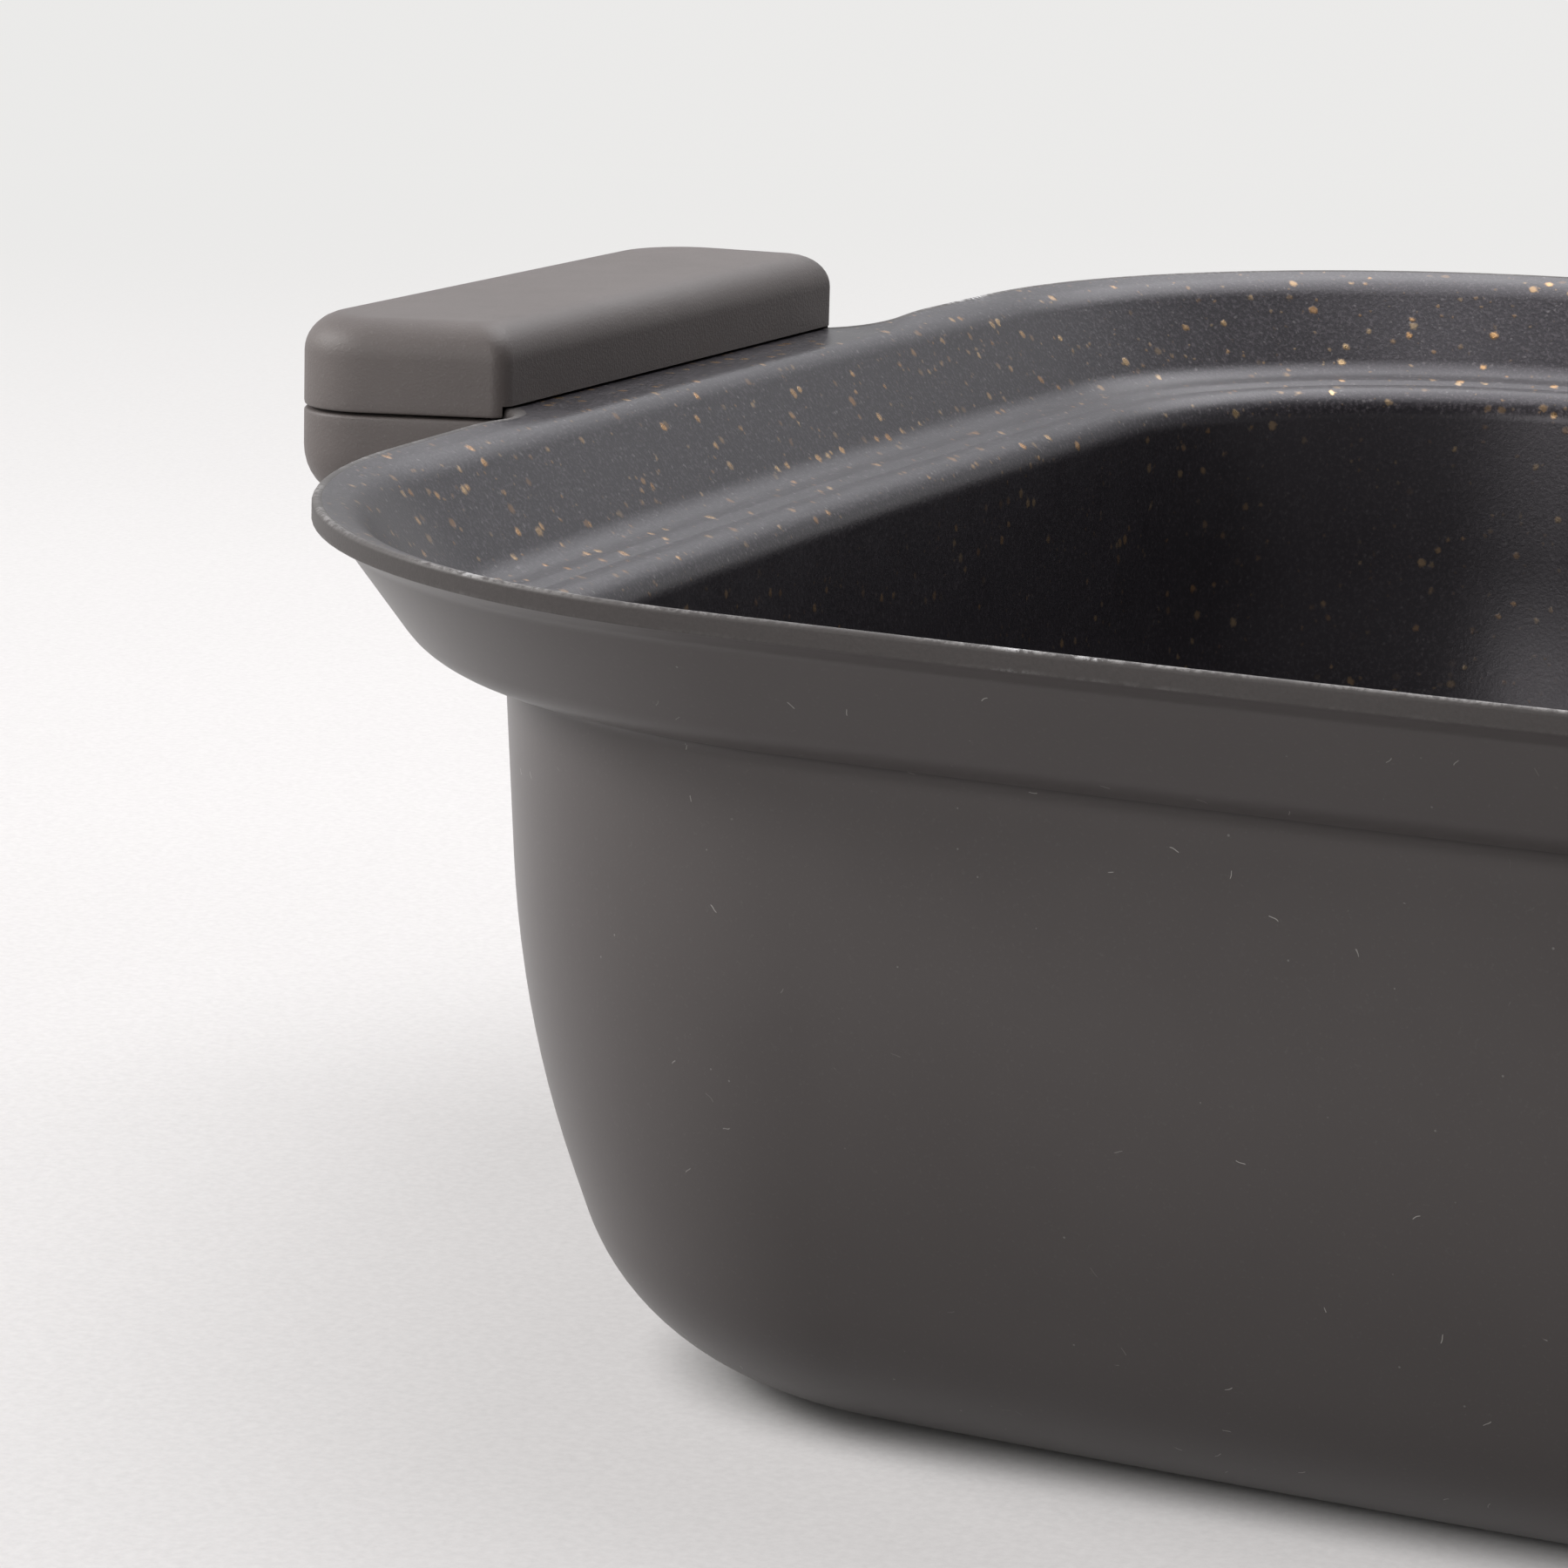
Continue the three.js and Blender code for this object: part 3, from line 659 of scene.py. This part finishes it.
def ring_tree():
    """Copies of one piece on rings about the Z axis."""
    inputs = {"Piece": "NodeSocketObject", "Finish": "NodeSocketMaterial"}
    for number in range(len(HOLE_RINGS)):
        inputs[f"Ring {number} radius"] = "NodeSocketFloat"
        inputs[f"Ring {number} count"] = "NodeSocketInt"
    board, _, size = geometry_tree("pieces_on_rings", inputs)
    places = board.add("GeometryNodeJoinGeometry")
    for number in range(len(HOLE_RINGS)):
        ring = board.add("GeometryNodeMeshCircle", {}, {
            "Vertices": size[f"Ring {number} count"], "Radius": size[f"Ring {number} radius"]})
        board.tree.links.new(ring.socket, places.socket.node.inputs[0])
    piece = board.add("GeometryNodeObjectInfo", {}, {"Object": size["Piece"]}).out("Geometry")
    laid = board.add("GeometryNodeInstanceOnPoints", {}, {"Points": places, "Instance": piece})
    laid = board.add("GeometryNodeRealizeInstances", {}, {"Geometry": laid})
    laid = board.add("GeometryNodeSetMaterial", {}, {"Geometry": laid, "Material": size["Finish"]})
    board.add("NodeGroupOutput", {}, {0: laid})
    return board.tree


def on_rings(name, tree, mesh, finish):
    """The mesh repeated at every hole of the plate, as one piece."""
    pattern = mesh_object("one_" + name, mesh)
    values = {"Piece": pattern, "Finish": finish}
    for number, (radius, count) in enumerate(HOLE_RINGS):
        values[f"Ring {number} radius"] = radius * MM
        values[f"Ring {number} count"] = count
    piece = grown(mesh_object(name, bpy.data.meshes.new(name)), tree, values)
    bpy.data.objects.remove(pattern)
    return piece


def cut_out(piece, cutter):
    """The piece without what the cutter covers."""
    modifier = piece.modifiers.new("cut", "BOOLEAN")
    modifier.operation = "DIFFERENCE"
    modifier.solver = "EXACT"
    modifier.object = cutter
    settled(piece)
    bpy.data.objects.remove(cutter)


def brushed_steel(name, colour, lines, rough):
    """Steel with fine turned lines about the Z axis."""
    material, board, place = finish_board(name)
    flat = board.add("ShaderNodeVectorMath", {"operation": "MULTIPLY"}, {0: place, 1: (1, 1, 0)})
    across = board.add("ShaderNodeCombineXYZ", {}, {"X": flat.length()})
    line = noise(board, across, lines, 3.0, 0.7)
    smear = noise(board, place, 14.0, 4.0, 0.6)
    tone = (0.5 * line + 0.5 * smear).pick(tuple(0.82 * c for c in colour) + (1,), tuple(colour) + (1,))
    surface(board, {"Base Color": tone, "Metallic": 1.0, "Roughness": rough + 0.16 * smear + 0.08 * line,
                    "Normal": relief(line, 0.15, 0.02)})
    return material


def flattened_aluminium():
    """The base's own metal where the press has flattened it."""
    material, board, place = finish_board("flattened_aluminium")
    grain = noise(board, place, 0.4, 3.0, 0.6)
    smear = noise(board, place, 2.5, 3.0, 0.6)
    tone = smear.pick((0.52, 0.52, 0.53, 1), (0.68, 0.68, 0.69, 1))
    surface(board, {"Base Color": tone, "Metallic": 1.0, "Roughness": 0.42 + 0.2 * grain,
                    "Normal": relief(grain, 0.3, 0.05)})
    return material


stainless = brushed_steel("brushed_stainless_plate", (0.62, 0.61, 0.6), 0.35, 0.26)
holes = ring_tree()
plate = mesh_object("induction_disc", turned((
    (0, PLATE_TOP), (PLATE_RADIUS / 2, PLATE_TOP), (PLATE_RADIUS, PLATE_TOP), (PLATE_RADIUS, PLATE_BOTTOM + 0.1),
    (PLATE_RADIUS - 0.1, PLATE_BOTTOM), (PLATE_RADIUS / 2, PLATE_BOTTOM), (0, PLATE_BOTTOM)), 160))
cut_out(plate, on_rings("plate_holes", holes, turned((
    (0, -1), (HOLE_RADIUS, -1), (HOLE_RADIUS, 2), (0, 2)), 28), stainless))
plate.data.materials.clear()
plate.data.materials.append(stainless)
plate.data.shade_smooth()
plate.data.set_sharp_from_angle(angle=math.radians(35))
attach(plate, "root")
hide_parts("induction_plate")

studs = on_rings("base_studs", holes, turned((
    (0, PLATE_RECESS + 0.05), (HOLE_RADIUS - 0.1, PLATE_RECESS + 0.05), (HOLE_RADIUS - 0.1, PLATE_BOTTOM + 0.12),
    (HOLE_RADIUS - 0.25, PLATE_BOTTOM + 0.02), (HOLE_RADIUS / 2, PLATE_BOTTOM - 0.02), (0, PLATE_BOTTOM - 0.03)), 24),
    flattened_aluminium())
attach(studs, "root")

# Handles
# Each handle is two mouldings of dark phenolic resin that close round the ear, an upper and a lower half.
# They meet in a fine seam at the height of the ear, and two screws from below clamp them.
HANDLE_INNER = 138.2
HANDLE_OUTER = 163.8
HANDLE_HALF_LENGTH = 39.6
HANDLE_SPLAY = math.tan(math.radians(8.2))
HANDLE_FALL = math.tan(math.radians(1.5))
HANDLE_TOP = RIM_HEIGHT + 7.4
HANDLE_SEAM = RIM_HEIGHT - 2
HANDLE_BOTTOM = RIM_HEIGHT - 12
TOP_ROUND = 3.8
BOTTOM_ROUND = 6.0
SEAM_ROUND = 0.35
OUTER_CORNER = 10.5
INNER_CORNER = 1.7
GAP = 0.3
EAR_FACE = RIM_HEIGHT - EAR_DROP
EAR_BOTTOM = EAR_FACE - SHEET
SCREW_X = 148.0
SCREW_Y = 20.0
SCREW_RADIUS = 2.0
INSERT_RADIUS = 3.2
INSERT_LENGTH = 6.0
POCKET_RADIUS = 4.6
POCKET_SEAT = HANDLE_BOTTOM + 4.4


def handle_outline(inset, height, steps=10):
    """The right handle's plan, drawn in: tight corners beside the rim, wide ones outside and splayed ends."""
    near, far, end = HANDLE_INNER + inset, HANDLE_OUTER - inset, HANDLE_HALF_LENGTH - inset
    wide = max(OUTER_CORNER - inset, INNER_CORNER)
    tight = INNER_CORNER
    corners = ((far - wide, wide - end, wide), (far - wide, end - wide, wide),
               (near + tight, end - tight, tight), (near + tight, tight - end, tight))
    ring = []
    for number, (x, y, radius) in enumerate(corners):
        for i in range(steps + 1):
            angle = (number - 1 + i / steps) * math.pi / 2
            out = x + radius * math.cos(angle) - HANDLE_INNER
            along = (y + radius * math.sin(angle)) * (1 + out * HANDLE_SPLAY / HANDLE_HALF_LENGTH)
            ring.append(Vector((HANDLE_INNER + out, along, height - out * HANDLE_FALL)))
    return ring


def skinned(rings):
    """A closed mesh through rings of points in mm, capped at both ends."""
    shape = bmesh.new()
    rows = [[shape.verts.new(p * MM) for p in ring] for ring in rings]
    count = len(rows[0])
    for low, high in zip(rows, rows[1:]):
        for i in range(count):
            shape.faces.new((low[i], low[(i + 1) % count], high[(i + 1) % count], high[i]))
    shape.faces.new(rows[0][::-1])
    shape.faces.new(rows[-1])
    bmesh.ops.remove_doubles(shape, verts=shape.verts, dist=1e-7)
    bmesh.ops.recalc_face_normals(shape, faces=shape.faces)
    mesh = bpy.data.meshes.new("skin")
    shape.to_mesh(mesh)
    shape.free()
    return mesh


def handle_half(name, seam, face, edge_round):
    """One half of the right handle, from its rounded seam edge to the rounded edge of its outer face."""
    up = math.copysign(1, face - seam)
    rings = [handle_outline(SEAM_ROUND, seam)]
    for i in range(1, 5):
        a = math.pi / 8 * i
        rings.append(handle_outline(SEAM_ROUND * (1 - math.sin(a)), seam + up * SEAM_ROUND * (1 - math.cos(a))))
    rings.append(handle_outline(0, seam + up * 3 * SEAM_ROUND))
    for i in range(11):
        a = math.pi / 20 * i
        rings.append(handle_outline(edge_round * (1 - math.cos(a)), face - up * edge_round * (1 - math.sin(a))))
    rings.append(handle_outline(edge_round + 0.8, face))
    return mesh_object(name, skinned(rings))


def bar(x, y, radius, low, high, sides=32):
    """An upright round bar, as a cutter."""
    cutter = mesh_object("bar", turned(((0, low), (radius, low), (radius, high), (0, high)), sides))
    cutter.data.transform(Matrix.Translation(Vector((x, y, 0)) * MM))
    return cutter


def ear_space(low, high):
    """The room that the right ear needs between the halves."""
    wide = EAR_HALF_WIDTH + GAP
    root = EAR_ROOT - GAP
    tip = EAR_TIP + GAP
    tip_round = EAR_TIP_ROUND + GAP
    start = wide + root
    rim = RIM_HALF - start ** 2 / (2 * SIDE_BOW) + GAP
    half = []
    for i in range(13):
        a = math.pi / 24 * i
        half.append(Vector((rim + root * (1 - math.cos(a)), start - root * math.sin(a), 0)))
    for i in range(9):
        a = math.pi / 16 * i
        half.append(Vector((tip - tip_round + tip_round * math.sin(a), wide - tip_round + tip_round * math.cos(a), 0)))
    plan = [Vector((rim - 3, start, 0))] + half
    plan += [Vector((p.x, -p.y, 0)) for p in reversed(plan)]
    return mesh_object("ear_space", skinned([[p + Vector((0, 0, z)) for p in plan] for z in (low, high)]))


def phenolic():
    """Matt moulded resin with a fine tooth and a little dust."""
    material, board, place = finish_board("matt_phenolic_moulding")
    grain = noise(board, place, 0.3, 3.0, 0.65)
    cloud = noise(board, place, 6.0, 4.0, 0.6)
    rub = noise(board, place, 22.0, 3.0, 0.6, 30.0)
    colour = cloud.pick((0.108, 0.0925, 0.0885, 1), (0.1375, 0.118, 0.1125, 1))
    colour = (grain.step(0.56, 0.75) * 0.4).pick(colour, (0.2, 0.184, 0.177, 1))
    dust, _ = flecks(board, place, 2.2, 0.12, 0.5, 0.05)
    colour = (dust * 0.5).pick(colour, (0.3, 0.29, 0.285, 1))
    surface(board, {"Base Color": colour, "Roughness": 0.48 + 0.14 * rub, "Specular IOR Level": 0.5,
                    "Normal": relief(grain, 0.7, 0.08)})
    return material


resin = phenolic()
for side, turn in (("right", 0), ("left", math.pi)):
    upper = handle_half(side + "_handle_top_moulding", HANDLE_SEAM + GAP / 2, HANDLE_TOP, TOP_ROUND)
    lower = handle_half(side + "_handle_bottom_moulding", HANDLE_SEAM - GAP / 2, HANDLE_BOTTOM, BOTTOM_ROUND)
    cut_out(upper, ear_space(EAR_BOTTOM - 2, EAR_FACE + GAP))
    cut_out(lower, ear_space(EAR_BOTTOM - GAP, EAR_FACE + 2))
    for y in (-SCREW_Y, SCREW_Y):
        cut_out(upper, bar(SCREW_X, y, INSERT_RADIUS + GAP, EAR_BOTTOM, EAR_FACE + 2 * GAP + INSERT_LENGTH))
        cut_out(lower, bar(SCREW_X, y, SCREW_RADIUS + GAP, HANDLE_BOTTOM, EAR_FACE))
        cut_out(lower, bar(SCREW_X, y, POCKET_RADIUS, HANDLE_BOTTOM - 1, POCKET_SEAT))
    for half, node in ((upper, "upper"), (lower, "lower")):
        half.data.transform(Matrix.Rotation(turn, 4, "Z"))
        half.data.materials.clear()
        half.data.materials.append(resin)
        half.data.shade_smooth()
        half.data.set_sharp_from_angle(angle=math.radians(40))
        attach(half, "root")
        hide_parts(f"{side}_handle_{node}")

# Screws, washers and inserts
# Two pan-head machine screws per handle go up from below through a washer and the ear, into brass inserts
# that are moulded into the upper half. The heads lie deep in round pockets of the lower half.
HEAD_RADIUS = 3.6
HEAD_HEIGHT = 2.4
WASHER_RADIUS = 4.2
WASHER_THICKNESS = 0.8
WASHER_TOP = POCKET_SEAT - GAP
SHOULDER = WASHER_TOP - WASHER_THICKNESS - GAP
HEAD_BOTTOM = SHOULDER - HEAD_HEIGHT
SCREW_TIP = RIM_HEIGHT + 4.4
THREAD_PITCH = 0.7
THREAD_DEPTH = 0.22
CROSS_LENGTH = 2.1
CROSS_WIDTH = 0.42
CROSS_DEPTH = 1.3
KNURLS = 24


def on_ears_tree():
    """Copies of one piece at the four screw places, each turned at random about its axis."""
    board, _, size = geometry_tree("pieces_on_ears", {
        "Piece": "NodeSocketObject", "Finish": "NodeSocketMaterial", "Reach": "NodeSocketFloat",
        "Spacing": "NodeSocketFloat", "Seed": "NodeSocketInt"})
    places = board.add("GeometryNodeMeshGrid", {}, {
        "Size X": size["Reach"], "Size Y": size["Spacing"], "Vertices X": 2, "Vertices Y": 2})
    chance = board.add("FunctionNodeRandomValue", {"data_type": "FLOAT"}, {
        2: 0.0, 3: 2 * math.pi, "Seed": size["Seed"]}, 1)
    spin = board.add("ShaderNodeCombineXYZ", {}, {"Z": chance})
    piece = board.add("GeometryNodeObjectInfo", {}, {"Object": size["Piece"]}).out("Geometry")
    laid = board.add("GeometryNodeInstanceOnPoints", {}, {"Points": places, "Instance": piece, "Rotation": spin})
    laid = board.add("GeometryNodeRealizeInstances", {}, {"Geometry": laid})
    laid = board.add("GeometryNodeSetMaterial", {}, {"Geometry": laid, "Material": size["Finish"]})
    board.add("NodeGroupOutput", {}, {0: laid})
    return board.tree


def screw():
    """A pan head with a cross recess on a threaded shank, head down."""
    profile = [(0, HEAD_BOTTOM)]
    for i in range(9):
        a = math.pi / 16 * i
        profile.append((HEAD_RADIUS * (0.62 + 0.38 * math.sin(a)), HEAD_BOTTOM + 1.3 * (1 - math.cos(a))))
    profile += [(HEAD_RADIUS, SHOULDER - 0.1), (HEAD_RADIUS - 0.1, SHOULDER)]
    steps = math.ceil((SCREW_TIP - SHOULDER) / THREAD_PITCH * 6)
    for i in range(steps + 1):
        height = SHOULDER + (SCREW_TIP - SHOULDER) * i / steps
        taper = min(1, (SCREW_TIP - height) / (SCREW_RADIUS / 2))
        profile.append((SCREW_RADIUS * (0.7 + 0.3 * taper), height))
    profile.append((0, SCREW_TIP))

    def thread(angle, radius, height):
        if radius > SCREW_RADIUS or height < SHOULDER + 1:
            return 0
        turn = (height / THREAD_PITCH - angle / (2 * math.pi)) % 1
        return -THREAD_DEPTH * (1 - abs(2 * turn - 1))

    piece = mesh_object("one_screw", turned(profile, 28, thread))
    for angle in (0, math.pi / 2):
        plan = [Vector((s * CROSS_LENGTH, t * CROSS_WIDTH, 0)) for s, t in ((-1, -1), (1, -1), (1, 1), (-1, 1))]
        floor = [Vector((p.x * 0.45, p.y * 0.7, HEAD_BOTTOM + CROSS_DEPTH)) for p in plan]
        arm = mesh_object("cross", skinned([[p + Vector((0, 0, HEAD_BOTTOM - 0.2)) for p in plan], floor]))
        arm.data.transform(Matrix.Rotation(angle, 4, "Z"))
        cut_out(piece, arm)
    piece.data.shade_smooth()
    piece.data.set_sharp_from_angle(angle=math.radians(35))
    return piece


def washer():
    """A flat steel washer with softened edges."""
    low, bore, soft = WASHER_TOP - WASHER_THICKNESS, SCREW_RADIUS + GAP, 0.15
    loop = ((bore, low + soft), (bore + soft, low), (WASHER_RADIUS - soft, low), (WASHER_RADIUS, low + soft),
            (WASHER_RADIUS, WASHER_TOP - soft), (WASHER_RADIUS - soft, WASHER_TOP), (bore + soft, WASHER_TOP),
            (bore, WASHER_TOP - soft), (bore, low + soft))
    return mesh_object("one_washer", turned(loop, 48))


def insert():
    """A brass bush with two knurled bands and a waist between them."""
    low = EAR_FACE + GAP
    top, middle, bore, waist = low + INSERT_LENGTH, low + INSERT_LENGTH / 2, SCREW_RADIUS + GAP, INSERT_RADIUS - 0.4
    loop = ((bore, low), (INSERT_RADIUS - 0.3, low), (INSERT_RADIUS, low + 0.3), (INSERT_RADIUS, middle - 0.8),
            (waist, middle - 0.4), (waist, middle + 0.4), (INSERT_RADIUS, middle + 0.8),
            (INSERT_RADIUS, top - 0.3), (INSERT_RADIUS - 0.3, top), (bore, top), (bore, low))

    def knurl(angle, radius, height):
        if radius < INSERT_RADIUS:
            return 0
        return -0.2 if round(angle / math.pi * KNURLS) % 2 else 0

    return mesh_object("one_insert", turned(loop, 2 * KNURLS, knurl))


def turned_metal(name, dark, light, rough):
    """Plain small-part metal, clouded between two tones."""
    material, board, place = finish_board(name)
    grain = noise(board, place, 0.3, 3.0, 0.6)
    cloud = noise(board, place, 1.6, 3.0, 0.6)
    tone = cloud.pick(dark, light)
    surface(board, {"Base Color": tone, "Metallic": 1.0, "Roughness": rough + 0.15 * cloud,
                    "Normal": relief(grain, 0.2, 0.02)})
    return material


zinc = turned_metal("zinc_plated_steel", (0.46, 0.47, 0.48, 1), (0.6, 0.6, 0.61, 1), 0.3)
brass = turned_metal("plain_brass", (0.55, 0.38, 0.15, 1), (0.68, 0.5, 0.22, 1), 0.3)
ears = on_ears_tree()
for number, (name, pattern, finish, slot_name) in enumerate((
        ("screw", screw(), zinc, "fastener"), ("washer", washer(), zinc, "fastener"),
        ("insert", insert(), brass, "insert"))):
    group = grown(mesh_object(f"handle_{name}s", bpy.data.meshes.new(name)), ears, {
        "Piece": pattern, "Finish": finish, "Reach": 2 * SCREW_X * MM, "Spacing": 2 * SCREW_Y * MM, "Seed": number})
    bpy.data.objects.remove(pattern)
    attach(group, "root")
    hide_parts(*(f"{side}_{end}_{name}" for side in ("left", "right") for end in ("front", "rear")))

# Studio
# The pot stands on a wide pale floor that runs into a low pale wall. A wide soft lamp hangs over its far half, a
# smaller one stands to the left and a low one in front, and the pale tent behind it gives the ledge its sheen.
CAMERA_PLACE = Vector((0.10885, -0.51167, 0.1561))
CAMERA_YAW = math.radians(-24.54)
CAMERA_PITCH = math.radians(12.16)
CAMERA_ROLL = math.radians(1.51)
CAMERA_LENS = 124
PALE = (0.83, 0.825, 0.815, 1)
FOOT_STRAIGHT = 0.071
# Where the floor's glow fades out round the pot's foot, which paints a contact shadow there over the real one.
PAINTED_SHADOW_FROM = 0.0205
PAINTED_SHADOW_TO = 0.0325
FLOOR_RADIUS = 6
FLOOR_DROP = 0.0002
TENT_AIM = Vector((-0.2, 0.93, 0.3))


def seen_directly(board):
    """1 for the rays that show a surround to the eye: straight, mirrored and through glass."""
    ray = board.add("ShaderNodeLightPath")
    return ray.out("Is Camera Ray").most(ray.out("Is Glossy Ray")).most(ray.out("Is Transmission Ray"))


def pale_floor():
    """Pale paper. Its glow is only seen, lights nothing, and fades out round the pot's foot as a painted contact
    shadow.
    """
    material, board, place = finish_board("pale_floor")
    far = place.length().step(0.23, 1.08)
    tooth = noise(board, place, 0.9, 3.0, 0.7)
    cloud = noise(board, place, 300.0, 2.0) * 0.5 + tooth * 0.5
    seen = seen_directly(board)
    tone = far.pick(cloud.pick((0.28, 0.274, 0.272, 1), (0.43, 0.424, 0.422, 1)), (0, 0, 0, 1))
    # To bounce light the floor is nearly black within about 0.14 m of the middle and pale beyond: painted shade on the
    # pot's lower wall and flare, which face the near floor.
    beyond = place.part("X").size().most(place.part("Y").size()).step(0.14, 0.27)
    tone = seen.pick(beyond.pick((0.03, 0.03, 0.03, 1), (0.45, 0.445, 0.44, 1)), tone)
    # The glow fades out within about 20 to 33 mm of the foot's straight sides: a painted contact shadow, over the
    # floor's real shadow.
    past = (place.size() - Vector((FOOT_STRAIGHT, FOOT_STRAIGHT, 1))).most(Vector((0, 0, 0)))
    clear = past.length().step(PAINTED_SHADOW_FROM, PAINTED_SHADOW_TO)
    lit = far.pick(tooth.pick((0.38, 0.367, 0.365, 1), (0.47, 0.456, 0.453, 1)), PALE)
    glow = (seen * clear).pick((0, 0, 0, 1), lit)
    surface(board, {"Base Color": tone, "Roughness": 0.9, "Specular IOR Level": 0, "Emission Color": glow,
                    "Emission Strength": 1.0})
    return material


shape = bmesh.new()
bmesh.ops.create_circle(shape, cap_ends=True, segments=96, radius=FLOOR_RADIUS)
floor_mesh = bpy.data.meshes.new("floor")
shape.to_mesh(floor_mesh)
shape.free()
floor_mesh.transform(Matrix.Translation((0, 0, -FLOOR_DROP)))
floor_mesh.materials.append(pale_floor())
floor = mesh_object("floor", floor_mesh)

world = bpy.data.worlds.new("pale_surround")
bpy.context.scene.world = world
world.use_nodes = True
world.node_tree.nodes.clear()
board = Board(world.node_tree)
toward = board.add("ShaderNodeTexCoord").out("Generated")
tent = toward.dot(TENT_AIM).step(-0.1, 0.9).pick((0.02, 0.02, 0.021, 1), (0.54, 0.545, 0.56, 1))
low_wall = 1 - toward.part("Z").step(0.156, 0.276)
sky = board.add("ShaderNodeBackground", {}, {
    "Color": (seen_directly(board) * low_wall).pick(tent, PALE), "Strength": 1.0})
board.add("ShaderNodeOutputWorld", {}, {"Surface": sky})


def soft_lamp(name, place, target, width, height, power, colour):
    """A rectangular lamp at a place, turned to a target."""
    lamp = bpy.data.lights.new(name, "AREA")
    lamp.shape = "RECTANGLE"
    lamp.size = width
    lamp.size_y = height
    lamp.energy = power
    lamp.color = colour
    holder = bpy.data.objects.new(name, lamp)
    holder.matrix_world = (Matrix.Translation(place)
                           @ (Vector(target) - Vector(place)).to_track_quat("-Z", "Y").to_matrix().to_4x4())
    bpy.context.scene.collection.objects.link(holder)


soft_lamp("overhead_lamp", (-0.06, 0.4, 1.06), (-0.06, 0, 0.06), 0.9, 1.55, 13.5, (0.985, 0.985, 1))
soft_lamp("left_lamp", (-1.44, -0.41, 0.85), (0, 0, 0.04), 0.9, 0.5, 21, (1, 0.985, 0.97))
soft_lamp("front_lamp", (-0.28, -1.58, 0.57), (0, 0, 0.04), 1.3, 0.45, 9.5, (1, 0.985, 0.97))

right = Vector((math.cos(CAMERA_YAW), -math.sin(CAMERA_YAW), 0))
ahead = Vector((math.sin(CAMERA_YAW) * math.cos(CAMERA_PITCH), math.cos(CAMERA_YAW) * math.cos(CAMERA_PITCH),
                -math.sin(CAMERA_PITCH)))
up = right.cross(ahead)
rolled_right = right * math.cos(CAMERA_ROLL) + up * math.sin(CAMERA_ROLL)
rolled_up = up * math.cos(CAMERA_ROLL) - right * math.sin(CAMERA_ROLL)
lens = bpy.data.cameras.new("camera")
lens.lens = CAMERA_LENS
lens.sensor_width = 36
lens.clip_start = 0.01
camera = bpy.data.objects.new("camera", lens)
camera.matrix_world = Matrix.Translation(CAMERA_PLACE) @ Matrix(
    (rolled_right, rolled_up, -ahead)).transposed().to_4x4()
bpy.context.scene.collection.objects.link(camera)
bpy.context.scene.camera = camera
bpy.context.scene.view_settings.view_transform = "Standard"
